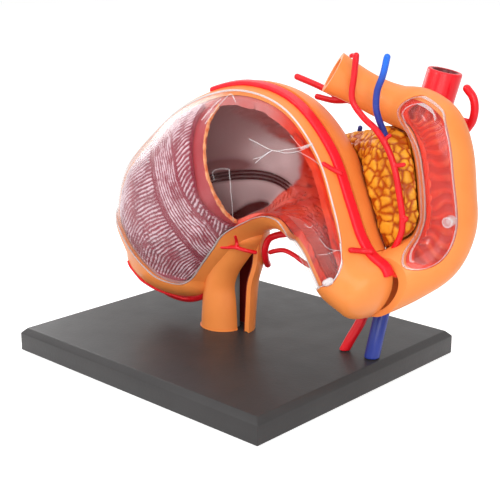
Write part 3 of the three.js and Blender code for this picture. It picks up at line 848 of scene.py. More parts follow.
@dataclass(frozen=True)
class ClearPlastic:
    """Thin clear formed plastic: see-through, with gloss, a faint milky veil, and white edges that are a
    painted reflection of the white surroundings.
    """

    name: str = "clear_plastic"
    haze_and_glint: float = 0.0005
    painted_edge_reflection: float = 0.62
    mirror: float = 0.004
    roughness: float = 0.12
    scuff_and_sheen_share: float = 0.0
    tint: tuple[float, float, float, float] = (0.95, 0.96, 0.97, 1)
    edge_reflection_power: float = 4.4
    mirror_power: float = 8
    mirror_edge: float = 0.8
    wave_haze: float = 0.003
    least_glare: float = 0.12
    least_scuff_and_sheen: float = 0.6

    def material(self) -> bpy.types.Material:
        """Builds the finish.

        Returns:
            The material.
        """
        paint = Paint(self.name)
        tree = paint.tree
        paint.shader.inputs["Base Color"].default_value = self.tint
        paint.set(Roughness=self.roughness, Specular_IOR_Level=0.9, Coat_Weight=0.4, Coat_Roughness=0.04)
        clear = tree.nodes.new("ShaderNodeBsdfTransparent")
        edge = tree.nodes.new("ShaderNodeLayerWeight")
        edge.inputs["Blend"].default_value = 0.5
        # The white mixed in at grazing angles (glare below) is a painted reflection of the white
        # surroundings. On a piece with notes, the glare note keeps it in full only where the piece marks it.
        facing = paint.maths("POWER", edge.outputs["Facing"], self.edge_reflection_power)
        waves = paint.between(paint.noise(120, 3), 0.4, 0.8)
        glare = paint.maths("MULTIPLY", facing, self.painted_edge_reflection)
        if self.scuff_and_sheen_share:
            glare = paint.maths("MULTIPLY", glare, paint.maths("ADD", paint.note("glare"), self.least_glare))
        # haze_and_glint is an even white share: a faint haze on the covers, and a painted highlight on the
        # rims and the moulded lines
        share = paint.maths("ADD", glare, self.haze_and_glint)
        share = paint.maths("ADD", share, paint.maths("MULTIPLY", waves, self.wave_haze))
        # scuffs_and_sheen marks real scuffs and a painted grey sheen: an even white veil laid on where the
        # piece notes it
        if self.scuff_and_sheen_share:
            patchy = paint.maths("ADD", waves, self.least_scuff_and_sheen)
            scuffs_and_sheen = paint.maths("MULTIPLY", paint.note("scuffs_and_sheen"), patchy)
            share = paint.maths("ADD", share, paint.maths("MULTIPLY", scuffs_and_sheen, self.scuff_and_sheen_share))
        body = tree.nodes.new("ShaderNodeMixShader")
        tree.links.new(share, body.inputs[0])
        tree.links.new(clear.outputs[0], body.inputs[1])
        tree.links.new(paint.shader.outputs[0], body.inputs[2])
        gloss = tree.nodes.new("ShaderNodeBsdfGlossy")
        gloss.inputs["Roughness"].default_value = self.roughness
        mirror = paint.maths("POWER", edge.outputs["Facing"], self.mirror_power)
        mirror = paint.maths("ADD", paint.maths("MULTIPLY", mirror, self.mirror_edge), self.mirror)
        shine = tree.nodes.new("ShaderNodeMixShader")
        tree.links.new(mirror, shine.inputs[0])
        tree.links.new(body.outputs[0], shine.inputs[1])
        tree.links.new(gloss.outputs[0], shine.inputs[2])
        tree.links.new(shine.outputs[0], paint.output.inputs["Surface"])
        return paint.material


@dataclass(frozen=True)
class GlandPaint:
    """Ochre lobes with red-brown creases."""

    name: str = "pancreas_lobes"
    lobe: str = "eeaa2e"
    warm: str = "de9226"
    crease: str = "ac4808"
    wear: float = 0.35

    def material(self) -> bpy.types.Material:
        """Builds the finish.

        Returns:
            The material.
        """
        paint = Paint(self.name)
        height = paint.note("lobe")
        tops = paint.mix(paint.between(paint.noise(180, 3), 0.35, 0.7), self.lobe, self.warm)
        worn = paint.maths("MULTIPLY", paint.maths("SUBTRACT", paint.noise(500, 3), 0.5), self.wear)
        worn = paint.maths("ADD", height, worn)
        paint.link(paint.mix(paint.between(worn, 0.22, 0.76), self.crease, tops), "Base Color")
        paint.set(Roughness=0.38, Specular_IOR_Level=0.18, Coat_Weight=0.04, Coat_Roughness=0.2)
        return paint.bump(paint.noise(1200, 3), 0.05).material


DUODENUM_LINING = LiningPaint("duodenum_lining_paint", outlet="ff4a24", outlet_light="ff7246",
                              outlet_crease="e83a20")
MAROON = PaintedPlastic("neck_maroon", "7a1c18", "4c0e0c", 0.45, 60, 0.6, 0.05, 0.1)
TORN_EDGE = PaintedPlastic("torn_edge", "f2ab78", "d8622e", 0.4, 420, 0.9, 0.08, 0.2)
# CLEAR_EDGE and CLEAR_LINE: the rims and moulded lines are real, and their white haze is a painted highlight
# along them
CLEAR_EDGE = ClearPlastic("clear_edge", haze_and_glint=0.5, painted_edge_reflection=0.2, mirror=0.06)
CLEAR_DUODENUM = ClearPlastic("clear_duodenum", haze_and_glint=0.01, painted_edge_reflection=0.4, mirror=0.012)
CLEAR_LINE = ClearPlastic("clear_line", haze_and_glint=0.26, painted_edge_reflection=0.1, mirror=0.04)
ORANGE = PaintedPlastic("orange_shell", "f4924a", "e47429", 0.4, 32, 0.45)
RED_GLOSS = PaintedPlastic("red_vessel", "e81826", "c20c18", 0.3, 60, 0.6, 0.03, 0.4)
BAND_RED = PaintedPlastic("band_red", "f61e30", "dc1424", 0.34, 50, 0.5, 0.03, 0.35)
BLUE_GLOSS = PaintedPlastic("blue_vessel", "2c3f9e", "1c2a72", 0.3, 60, 0.6, 0.03, 0.4)
BLACK_SATIN = PaintedPlastic("black_base", "3c3a3a", "302e2e", 0.42, 25, 0.5, 0.05, 0.1)
GREY_PLASTIC = PaintedPlastic("grey_post", "8c8c8a", "6e6e6c", 0.5, 60, 0.5, 0.03, 0.0)
MUSCLE_COATS = LayeredRelief("muscle_coats", "8a2238", "e8c6d0", "ridge", 0.3, 0.98, patch="9c3a48")
STEP_RED = PaintedPlastic("submucosa_red", "b8444a", "962c34", 0.3, 80, 0.6, 0.06, 0.4)
AORTA_RED = PaintedPlastic("aorta_red", "ee1626", "d00e1c", 0.3, 60, 0.6, 0.03, 0.4, "6e0a12")
VEIN_TIP = PaintedPlastic("vein_tip", "2c3f9e", "1c2a72", 0.3, 60, 0.6, 0.03, 0.4, "1f6ee8")


def set_piece(piece: bpy.types.Object, name: str, body: Body, slot: str, *nodes: str) -> None:
    """Names a finished piece, lets it ride on its body and stand for its nodes.

    Args:
        piece: The object.
        name: Its name in the scene.
        body: The body that carries it.
        slot: Not used.
        nodes: The nodes that it stands for.
    """
    piece.name = name
    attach(piece, body.value)
    if nodes:
        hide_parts(*nodes)
    LOG.info("%s: %d faces, on %s", name, len(piece.data.polygons), body.value)


# Sub-assemblies


def ease_edges(bm: bmesh.types.BMesh, offset: float) -> None:
    """Rounds every edge of a mesh by `offset`."""
    bmesh.ops.bevel(bm, geom=bm.edges[:], offset=offset, segments=3, profile=0.5, affect="EDGES",
                    material=-1)


@dataclass
class Stand:
    """Base plate with a chamfered rim, and the flat post that the organ hangs on."""

    length: float = 130
    depth: float = 116
    thickness: float = 9.4
    chamfer: float = 2.1
    ease: float = 0.35
    post_ease: float = 0.5
    post_width: float = 9
    post_thickness: float = 3.6
    post_top: float = 35.4
    post_foot: float = 4.4
    post_at: tuple[float, float] = (-6, 2.6)

    def build(self) -> None:
        """Makes the plate and the post."""
        self.make_plate()
        self.make_post()

    def make_plate(self) -> None:
        """Plate with eased corners, a chamfer and the slot for the post."""
        bm = bmesh.new()
        bmesh.ops.create_cube(bm, size=1)
        bmesh.ops.scale(bm, vec=(self.length, self.depth, self.thickness), verts=bm.verts)
        bmesh.ops.translate(bm, vec=(0, 0, self.thickness / 2), verts=bm.verts)
        top = [face for face in bm.faces if face.normal.z > 0.5]
        bmesh.ops.inset_region(bm, faces=top, thickness=self.chamfer, depth=0, use_even_offset=True)
        side, height = self.length / 2 - WELD, self.thickness - WELD
        rim = [vert for vert in bm.verts if vert.co.z > height and abs(vert.co.x) > side]
        bmesh.ops.translate(bm, vec=(0, 0, -self.chamfer), verts=rim)
        ease_edges(bm, self.ease)
        plate = Solid("plate", bm).shaped((Join.CUT, block(*self.corners(FIT_GAP))))
        piece = plate.finished(BLACK_SATIN.material(), sharp=30)
        set_piece(piece, "base_plate_piece", Body.STAND, "base", "base_plate")

    def corners(self, grow: float) -> tuple[tuple[float, ...], tuple[float, ...]]:
        """Corners of the post.

        Args:
            grow: How far the post is grown on every side.

        Returns:
            The lowest corner and the highest.
        """
        x, y = self.post_at
        w, t = self.post_width / 2 + grow, self.post_thickness / 2 + grow
        return (x - w, y - t, self.post_foot - grow), (x + w, y + t, self.post_top + grow)

    def make_post(self) -> None:
        """Flat post with eased edges."""
        low, high = self.corners(0)
        bm = bmesh.new()
        bmesh.ops.create_cube(bm, size=1)
        bmesh.ops.scale(bm, vec=np.subtract(high, low), verts=bm.verts)
        bmesh.ops.translate(bm, vec=np.add(high, low) / 2, verts=bm.verts)
        ease_edges(bm, self.post_ease)
        piece = Solid("post", bm).finished(GREY_PLASTIC.material())
        set_piece(piece, "stand_post_piece", Body.STAND, "post", "stand_post")


@dataclass
class Openings:
    """Outlines of the two clear windows and of the layers under the big one, as (x, z)."""

    stomach: Outline = (
        (-46.7, 46.1), (-42.2, 40.4), (-37.3, 35.2), (-32.6, 31.6), (-27.6, 29), (-21.7, 27.5),
        (-16.7, 27.5), (-12.8, 30), (-6, 37.5), (0.9, 45.2), (6.1, 51.3), (12.3, 55.6), (26.9, 62.7),
        (33.9, 64.3), (38.5, 63.5), (40.3, 60), (37, 54.5), (32, 50), (38, 40), (48, 33), (52, 38.5),
        (56, 42.4), (58.4, 43.6), (61.6, 44.9), (63.5, 48.2), (63.6, 52.6), (61.3, 58.5), (72, 76),
        (60, 120), (-80, 120), (-80, 72), (-60, 52),
    )
    far_corners: int = 5
    rim: Outline = ((-90, -9), (30, -8), (50, -8.6), (60, -10), (64, -13), (90, -13))
    duodenum: Outline = (
        (65.8, 101.9), (67.3, 104.8), (71.3, 107.5), (76.9, 108.2), (80.2, 107), (83, 103.4),
        (86.2, 96.5), (88.2, 90.1), (89.6, 82.1), (91.2, 71.4), (91.6, 64.5), (90.7, 57.4), (88.3, 52.6),
        (84.1, 50.2), (79.2, 51), (77, 55), (76.9, 62), (77.6, 72), (75.8, 82.8), (73.8, 89.5),
        (68.8, 95.2), (66.5, 99.1),
    )
    duodenum_rim_y: float = 16
    duodenum_points: int = 160

    def stomach_outline(self) -> np.ndarray:
        """Outline of the big window.

        Returns:
            The points, smooth on the organ and straight outside it.
        """
        near = self.stomach[:-self.far_corners]
        smooth = smooth_through(near, np.linspace(0, 1, 8 * len(near)))
        return np.vstack([smooth, self.stomach[-self.far_corners:]])

    def stomach_space(self, inset: float) -> Solid:
        """Space that the big window takes out of the front half.

        Args:
            inset: How far the space is drawn in.

        Returns:
            The space.
        """
        line = smooth_through(self.rim, np.linspace(0, 1, 60))
        corners = [(x, y - inset, -1) for x, y in line]
        corners += [(line[-1][0], -FAR, -1), (line[0][0], -FAR, -1)]
        before_rim = pushed(corners, (0, 0, FAR))
        return slab(drawn_in(self.stomach_outline(), inset), -FAR, 0).shaped((Join.KEEP, before_rim))

    def duodenum_outline(self, inset: float) -> np.ndarray:
        """Smooth outline of the duodenum's window, drawn in by `inset`."""
        return drawn_in(rounded(self.duodenum, self.duodenum_points), inset)

    def duodenum_space(self, inset: float) -> Solid:
        """Space that the duodenum's window takes out of its wall, drawn in by `inset`."""
        return slab(self.duodenum_outline(inset), -FAR, self.duodenum_rim_y - inset)


@dataclass
class Organ:
    """Forms that several sub-assemblies are cut from."""

    stomach: StomachForm = field(default_factory=StomachForm)
    openings: Openings = field(default_factory=Openings)
    front_neck: NeckForm = field(default_factory=lambda: NeckForm((
        (-7.7, 0, 9.3, 8.3), (-7.4, 20, 8, 8), (-7, 28, 6.9, 8), (-5.6, 34, 8, 8.2),
        (-2.8, 40, 9.8, 8.8), (1.5, 46, 10.3, 9.2), (5.5, 50, 9, 8), (8, 53, 6, 5))))
    back_neck: NeckForm = field(default_factory=lambda: NeckForm((
        (-5.2, 0, 11.7, 10.5), (-4.8, 22, 12.6, 12), (-4, 30, 12.6, 12.5), (-1.6, 38, 12.8, 13),
        (2, 46, 10.4, 13), (6, 51, 8.5, 10), (8.5, 54, 6, 6))))
    duodenum: PipeForm = field(default_factory=lambda: PipeForm((
        (65, -6, 40.5, 10.6), (67, 1, 41.4, 10.6), (75, 9, 46.8, 10.5), (81.2, 16, 53, 10.3),
        (83.6, 20, 63, 10.2), (82.9, 20, 74, 10.2), (80.6, 20, 88.5, 10.2), (76.8, 20, 96.8, 9.9),
        (70.5, 20, 101.4, 8.6), (61.5, 20, 102.9, 7.3), (54.2, 18.8, 105, 6.8), (48, 14, 109, 6.7),
        (41, 7.8, 114.2, 7.7)), 64))
    open_end: PipeStation = (39.7, 6.7, 115.2, 7.7)
    seat: float = 9.7
    pylorus: tuple[float, float] = (59.5, 44.5)
    pylorus_across: tuple[float, float] = (0.645, 0.766)
    pylorus_reach: tuple[float, float] = (16, -30)
    pylorus_depth: float = 50
    liner_gap: float = 0.04
    liner_wall: float = 0.4
    liner_rise: float = 0.2
    liner_overlap: float = 0.05
    aorta_foot: tuple[float, float, float] = (59.5, 28.5, 66)
    aorta_top: tuple[float, float, float] = (65.5, 42.5, 114)
    aorta_radius: float = 6.5
    aorta_sides: int = 48

    def in_front(self) -> Solid:
        """Everything in front of the seam."""
        return block((-FAR, -FAR, -FAR), (FAR, -SEAM_GAP / 2, FAR), BOX_CUTS)

    def behind(self, y: float = SEAM_GAP / 2) -> Solid:
        """Everything behind the seam or another plane."""
        return block((-FAR, y, -FAR), (FAR, FAR, FAR), BOX_CUTS)

    def beside_pylorus(self, side: int, grow: float) -> Solid:
        """Space on one side of the joint at the pylorus.

        Args:
            side: 1 for the duodenum's side and -1 for the stomach's.
            grow: How far the space reaches over the joint.

        Returns:
            The space.
        """
        centre, across = np.array(self.pylorus), np.array(self.pylorus_across)
        away = np.array([across[1], -across[0]]) * side
        near = [centre + across * reach - away * grow for reach in self.pylorus_reach]
        return slab(np.array([*near, *[point + away * self.pylorus_depth for point in near[::-1]]]), 0, FAR)

    def duodenum_skin(self, inset: float) -> Solid:
        """Skin of the duodenum.

        Args:
            inset: How far inside the outer face the skin lies.

        Returns:
            The solid, which runs out past the open end where it is drawn in.
        """
        if inset <= 0:
            return self.duodenum.skin(inset)
        return PipeForm((*self.duodenum.stations, self.open_end), self.duodenum.sides).skin(inset)

    def neck_liner(self, neck: NeckForm) -> Solid:
        """Thin dark liner inside the oesophagus, up to the stomach's wall.

        Args:
            neck: Form of the half that it lines.

        Returns:
            The solid.
        """
        inset = SHELL_WALL + self.liner_gap
        return neck.skin(inset, self.seat + self.liner_rise).shaped(
            (Join.CUT, neck.skin(inset + self.liner_wall, 0)),
            (Join.CUT, self.stomach.skin(SHELL_WALL - self.liner_overlap, True)))

    def aorta_skin(self, radius: float) -> Solid:
        """Straight skin round the aorta."""
        return PipeForm(((*self.aorta_foot, radius), (*self.aorta_top, radius)), self.aorta_sides).skin()


def softened(solid: Solid, cell: float, rounds: int) -> Solid:
    """Remeshes a solid evenly and eases its edges.

    Args:
        solid: The solid.
        cell: Size of the new faces, in millimetres.
        rounds: How often the vertices are drawn to their neighbours.

    Returns:
        The same solid.
    """
    remesh = solid.object.modifiers.new("even", "REMESH")
    remesh.mode = "VOXEL"
    remesh.voxel_size = cell * MM
    solid.shaped()
    bm = bmesh.new()
    bm.from_mesh(solid.object.data)
    for _ in range(rounds):
        bmesh.ops.smooth_vert(bm, verts=bm.verts, factor=0.5, use_axis_x=True, use_axis_y=True,
                              use_axis_z=True)
    bm.to_mesh(solid.object.data)
    bm.free()
    return solid


@dataclass(frozen=True)
class LiningRelief:
    """Folds and colours of the stomach's lining, by the station along it and the angle round it.

    A few long folds cross the back of the body above a smooth swelling. Past the outlet's edge the
    folds are short and uneven, and on the lesser curvature they stand across like rungs.
    """

    lean: float = 24.7
    first: float = 9.3
    pitch: float = 4.4
    folds: float = 2.5
    fold_height: float = 0.6
    swelling: float = 0.9
    ruga_height: float = 1.0
    rungs: float = 5.5
    rung_height: float = 0.55
    outlet_edge: Outline = ((0, 4.3), (35, 4.05), (50, 4.1), (70, 4.35), (82, 4.6), (91, 4.95), (117, 5.0),
                            (127, 4.7), (135, 4.25), (140, 3.8), (180, 3.4))
    arch_edge: Outline = ((1.7, 113), (2.35, 126), (3.25, 137.5), (3.75, 141), (4.25, 135), (4.7, 127),
                          (5.2, 132), (9, 140))
    inlet_top: Outline = ((1.6, 108), (1.95, 109.5), (2.72, 117), (3.25, 125.5), (3.6, 135), (3.8, 142))

    def parts(self, station: np.ndarray, angle: np.ndarray) -> Notes:
        """Where each kind of surface lies.

        Args:
            station: Stations along the stomach.
            angle: Angles round it, in degrees.

        Returns:
            Shares from 0 to 1 by name.
        """
        turn = np.abs((angle + 180) % 360 - 180)
        edge = np.interp(turn, *np.transpose(self.outlet_edge))
        past = turn - np.interp(station, *np.transpose(self.arch_edge))
        inlet = eased(angle - np.interp(station, *np.transpose(self.inlet_top)), -0.8, 1.2)
        inlet = inlet * eased(-past, -0.5, 1) * (angle > 0)
        within = eased(station, 1.6, 2.0) * eased(-station, -3.9, -3.5)
        arch = eased(past, -1, 2) * eased(station, 1.6, 2.0)
        return {
            "arch": np.where(angle > 0, arch * eased(-past, -26, -18) * eased(-station, -5.4, -4.6),
                             0.8 * eased(turn, 138, 150)),
            "red": np.maximum(eased(station - edge, -0.3, 0.5), arch),
            "rung": eased(station, 1.6, 2.0) * np.where(
                angle > 0, eased(past, 0, 5) * eased(-past, -16, -9) * eased(-station, -5.2, -4.6),
                eased(turn, 140, 150) * eased(-station, -9.5, -8.5)),
            "inlet": inlet * within,
            "body": eased(station, 1.9, 2.6) * eased(-station, -5.3, -4.4) * (angle > 0),
        }

    def height(self, station: np.ndarray, angle: np.ndarray) -> np.ndarray:
        """How far the lining stands up.

        Args:
            station: Stations along the stomach.
            angle: Angles round it, in degrees.

        Returns:
            The heights over its ground, in millimetres.
        """
        parts = self.parts(station, angle)
        across = (angle - self.lean * station - self.first) / self.pitch
        below, above = across < -0.5, across > self.folds
        wave = np.where(below, np.exp((np.minimum(across, 0) + 0.5) * 0.8), -np.cos(2 * np.pi * across))
        swell = self.swelling * np.sqrt(eased(across, self.folds - 0.3, self.folds + 2.5))
        body = self.fold_height * (0.6 + np.where(above, 1 + swell, wave))
        spot = np.stack([angle / 9, station * 0.9, np.zeros_like(angle)], -1)
        crease = np.abs(clouds(spot, 1.0))
        ruga = self.ruga_height * np.clip(crease / 0.3, 0, 1) ** 0.6
        steep = np.where(angle > 0, 0.5, 0.16)
        rung = self.rung_height * (1 - steep + steep * np.cos(2 * np.pi * self.rungs * station + 4 * crease))
        plain = 0.6 * self.fold_height
        ground = plain + (body - plain) * parts["body"]
        relief = ground * (1 - parts["red"]) + ruga * parts["red"]
        relief = relief * (1 - parts["rung"]) + rung * parts["rung"]
        return relief - 1.2 * parts["inlet"]

    def inside(self, stomach: StomachForm, inset: float, stepped: bool) -> Solid:
        """Inner face of the lining, `inset` inside the organ's face.

        Args:
            stomach: The form that the lining follows.
            inset: Depth of the lining's ground below the organ's outer face.
            stepped: Whether the back half's larger outline is meant.

        Returns:
            The solid that the lining is hollowed with.
        """
        rows, dome, sides = 400, 10, 240
        rings = stomach.rings(inset, stepped, sides=sides, rows=rows, dome_rows=dome)
        station = np.clip((np.arange(len(rings)) - dome) / (rows - 1), 0, 1) * stomach.spans
        angle = (np.linspace(0, 360, sides, endpoint=False) + 180) % 360 - 180
        grid = np.meshgrid(station, angle, indexing="ij")
        height = self.height(grid[0].ravel(), grid[1].ravel()).reshape(len(rings), sides)
        spoke = rings.mean(1, keepdims=True) - rings
        length = np.linalg.norm(spoke, axis=2, keepdims=True)
        step = spoke / np.maximum(length, 1e-6) * height[..., None] * np.minimum(length / 12, 1)
        return skin_over(rings + step, "lining_inside")

    def notes(self, stomach: StomachForm, points: np.ndarray, inset: float, stepped: bool) -> Notes:
        """What the lining's paint needs to know of each vertex.

        Args:
            stomach: The form that the lining follows.
            points: The vertices, in millimetres.
            inset: Depth of the lining's ground below the organ's outer face.
            stepped: Whether the back half's larger outline is meant.

        Returns:
            Values by name.
        """
        station, angle = stomach.where(points, inset, stepped)
        angle = (angle + 180) % 360 - 180
        parts = self.parts(station, angle)
        across = (angle - self.lean * station - self.first) / self.pitch
        # Painted light and shade in the body: glow is a painted highlight on the back wall, hump_highlight is
        # painted light on the swelling below the folds, and shade is painted shade above the folds. The light
        # note carries them to the paint.
        glow = np.exp(-((station - 4.15) / 0.9) ** 2 - ((angle - 91) / 20) ** 2)
        shade = np.exp(-((across + 1.6) / 1.8) ** 2) * eased(-station, -4.1, -3.3)
        hump_highlight = eased(across, self.folds, self.folds + 0.6) * parts["body"]
        light = 0.27 + 0.95 * glow + 0.32 * hump_highlight - 0.75 * shade
        # Painted shade: band darkens the fold note over the whole band of long folds, ridges included, so
        # that the band reads as one shaded stripe.
        band = eased(across, -0.7, 0) * eased(-across, -self.folds - 0.3, 0.2 - self.folds) * parts["body"]
        fold = np.clip(self.height(station, angle) / 0.8, 0, 1) * (1 - 0.78 * band)
        bright = np.maximum(eased(np.abs(angle), 62, 98), eased(station, 5.3, 6.4))
        return {"fold": fold, "red": np.maximum(parts["red"], parts["rung"]), "inlet": parts["inlet"],
                "light": np.clip(light, 0, 1), "bright": bright, "arch": parts["arch"]}


@dataclass
class FrontHalf:
    """Front half of the stomach: shell, lining rim, the layers under the window and its vessels."""

    organ: Organ
    relief: LiningRelief = field(default_factory=LiningRelief)
    lining_thickness: float = 2.0
    lining_reveal: float = 1.2
    window_wall: float = 1.6
    cover_relief: float = 0.7
    rim_relief: float = 1.1
    rim_rise: float = 0.05
    muscle_end: float = 5.4
    muscle_thickness: float = 1.8
    submucosa_thickness: float = 1.4
    torn_rise: float = 0.2
    torn_reach: tuple[float, float] = (0.45, 0.3)
    torn_cell: float = 0.26
    torn_wave: tuple[float, float] = (0.3, 2.4)
    rim_width: float = 0.28
    knob: Outline = ((9.95, -86), (10.02, -78))
    knob_radius: float = 1.3
    line_depth: float = 0.1
    moulded_lines: Sequence[tuple[float, Outline]] = (
        (0.14, ((5.78, -63), (6.05, -62), (6.32, -59), (6.55, -48), (6.7, -36), (6.76, -28))),
        (0.11, ((6.0, -76), (6.17, -70), (6.33, -59))),
        (0.14, ((6.07, -78), (6.25, -66), (6.35, -58.5), (6.57, -51), (6.72, -40), (6.78, -28))),
        (0.11, ((6.75, -39), (7.0, -31), (7.15, -27))),
        (0.1, ((6.45, -36), (6.62, -35.6), (6.74, -33))),
        (0.45, ((6.72, -35), (6.75, -29), (6.78, -23))),
        (0.2, ((4.58, -53), (4.7, -45), (4.82, -34))),
        (0.18, ((4.67, -57), (4.8, -48), (4.9, -35), (4.95, -27), (5.17, -36))),
        (0.16, ((3.97, -48), (3.97, -40))),
        (0.14, ((2.8, -48), (2.81, -57), (2.98, -56), (3.05, -61))),
        (0.13, ((5.3, -92), (5.2, -106), (4.82, -125), (4.22, -140))),
        (0.08, ((4.7, -101), (4.9, -93), (5.3, -92))),
        (0.12, ((7.85, -73), (8.0, -68), (8.0, -63))),
        (0.12, ((8.45, -61), (8.8, -56), (9.05, -47), (9.2, -38))),
        (0.1, ((8.85, -72), (9.0, -60), (9.08, -46))),
    )
    muscle_edge: Outline = ((-10, 112), (-5.2, 95.5), (-2.8, 87), (-0.3, 76), (0.9, 66), (6, 59),
                            (9, 55.6), (16, 46))
    submucosa_edge: Outline = ((-1, 112), (1.4, 96.5), (3.5, 86.5), (5.3, 77.6), (7.6, 68),
                               (9.4, 58.6), (17, 46))
    far_side: Outline = ((0, -20), (-90, -20), (-90, 112))
    band_y: tuple[float, float] = (-4.7, -0.45)
    band_start_x: float = -9
    band_thickness: float = 1.6
    band_overlap: float = 0.2
    band_inner_side: Outline = ((-60, -20), (-60, 70), (10, 80), (30, 75), (50, 52), (63, 44),
                                (90, 52), (90, -20))
    groove: float = 0.85
    face_depth: float = 0.2
    grit: float = 0.26
    oblique_pitch: float = 3.5
    band_fibres: float = 8.0
    strips: tuple[float, float] = (0.2, 0.1)
    granular: Sequence[tuple[float, float, float]] = ((3.5, -124, 0.7), (0.8, -98, 0.6))
    sling_left: Outline = ((-40, 3.05), (-62, 2.97), (-78.5, 2.78), (-94.5, 2.53), (-112, 2.2),
                           (-127.5, 1.82), (-143.5, 1.24), (-170, 0.4))
    sling_right: Outline = ((-40, 3.6), (-52, 3.71), (-74.5, 3.69), (-94.5, 3.46), (-112, 3.3),
                            (-130.5, 3.19), (-150, 2.69), (-170, 2.0))

    def build(self) -> None:
        """Makes every piece of the front half."""
        self.make_shell()
        self.make_lining()
        self.make_muscle()
        self.make_submucosa()
        self.make_window()
        self.make_band()

    def make_shell(self) -> None:
        """Outer wall with the front of the oesophagus and the big opening."""
        organ = self.organ
        shell = organ.stomach.skin(0).shaped(
            (Join.ADD, organ.front_neck.skin(0, organ.seat)),
            (Join.CUT, organ.stomach.skin(SHELL_WALL)),
            (Join.CUT, organ.front_neck.skin(SHELL_WALL, 0)),
            (Join.KEEP, organ.in_front()),
            (Join.CUT, organ.openings.stomach_space(0)))
        set_piece(shell.finished(ORANGE.material()), "front_shell_piece", Body.FRONT, "shell",
                  "stomach_front_shell")
        liner = organ.neck_liner(organ.front_neck).shaped((Join.KEEP, organ.in_front()))
        set_piece(liner.finished(MAROON.material()), "front_neck_liner_piece", Body.FRONT, "mucosa")

    def make_lining(self) -> None:
        """Red lining that stands proud of the wall at the opening's rim, with short folds."""
        organ = self.organ
        inset = SHELL_WALL + FIT_GAP
        depth = inset + self.lining_thickness
        lining = organ.stomach.skin(inset).shaped(
            (Join.CUT, self.relief.inside(organ.stomach, depth, False)),
            (Join.KEEP, organ.in_front()),
            (Join.CUT, organ.front_neck.skin(inset, 0)),
            (Join.CUT, organ.openings.stomach_space(self.lining_reveal)))
        lining.moved(lambda p, n: (p, self.relief.notes(organ.stomach, p, depth, False)))
        set_piece(lining.finished(LiningPaint("mucosa_rim").material(), sharp=60), "mucosa_front_piece",
                  Body.FRONT, "mucosa", "mucosa_front")

    def edge_space(self, edge: Outline) -> Solid:
        """Space to the left of a layer's edge."""
        smooth = smooth_through(edge, np.linspace(0, 1, 60))
        return slab(np.vstack([smooth, self.far_side]), -FAR, 0)

    def make_muscle(self) -> None:
        """Muscle coats in relief: two oblique sheets with a sling of long fibres between them."""
        organ = self.organ
        outer = self.window_wall + FIT_GAP
        end = self.muscle_end / organ.stomach.spans
        fine = organ.stomach.skin(outer, sides=360, rows=250, until=end, dome_rows=40)
        layer = fine.shaped(
            (Join.CUT, organ.stomach.skin(outer + self.muscle_thickness)),
            (Join.KEEP, organ.openings.stomach_space(self.lining_reveal + FIT_GAP)),
            (Join.KEEP, self.edge_space(self.muscle_edge)))
        layer.moved(lambda p, n: self.fibres(p, n, outer))
        set_piece(layer.finished(MUSCLE_COATS.material(), sharp=70), "muscle_coats_piece", Body.FRONT,
                  "muscle", "muscle_layer")

    def fibres(self, points: np.ndarray, normals: np.ndarray, inset: float) -> tuple[np.ndarray, Notes]:
        """Grooves between the fibres.

        Args:
            points: Vertices of the layer, in millimetres.
            normals: Their normals.
            inset: How far inside the organ's face the layer's own face lies.

        Returns:
            The vertices with the grooves sunk in, and the height of the ridge at each.
        """
        stomach = self.organ.stomach
        station, angle = stomach.where(points, inset)
        on_face = stomach.place(station / stomach.spans, np.radians(angle), inset)
        outside = np.linalg.norm(on_face - points, axis=1) < self.face_depth
        sway, grit = clouds(points, 12.0), clouds(points, 1.5, 40)
        strength = 0.9 + 0.55 * clouds(points, 6.0, 80)
        left = np.interp(-angle, [-a for a, _ in self.sling_left], [s for _, s in self.sling_left])
        right = np.interp(-angle, [-a for a, _ in self.sling_right], [s for _, s in self.sling_right])
        across = (station - left) / (right - left)
        edge = np.minimum(across, 1 - across)
        sway = sway + 0.4 * clouds(points, 4.0, 60)
        oblique_left = (angle + 14 * station) / self.oblique_pitch + 0.45 * sway
        oblique_right = (angle - 10 * station) / self.oblique_pitch + 0.45 * sway
        wide, narrow = self.strips
        sling = (across - wide) / (1 - wide - narrow) * self.band_fibres + 0.3 * sway
        in_sling = eased(edge, -0.02, 0.02)
        wave = np.where(in_sling > 0.5, sling, np.where(across < 0.5, oblique_left, oblique_right))
        ridge = (0.5 + 0.5 * np.cos(2 * np.pi * wave)) ** 0.8 * np.clip(strength, 0.45, 1)
        plain = np.maximum(eased(-across, -wide, -wide * 0.8), eased(across, 1 - narrow, 1 - narrow * 0.7))
        plain = in_sling * plain
        ridge = (ridge * (1 - plain) + 0.4 * plain) * np.clip(np.abs(edge) * 26, 0.15, 1)
        grainy = sum(np.exp(-((station - s) / w) ** 2 - ((angle - a) / 16 / w) ** 2)
                     for s, a, w in self.granular)
        grit_share = self.grit + 0.8 * np.clip(grainy, 0, 1)
        ridge = np.clip(ridge * (1 + grit_share * grit) + 0.4 * (grit_share - self.grit) * grit, 0, 1)
        depth = self.groove * (1 - ridge) * outside
        return points - normals * depth[:, None], {"ridge": np.where(outside, ridge, 0.1)}

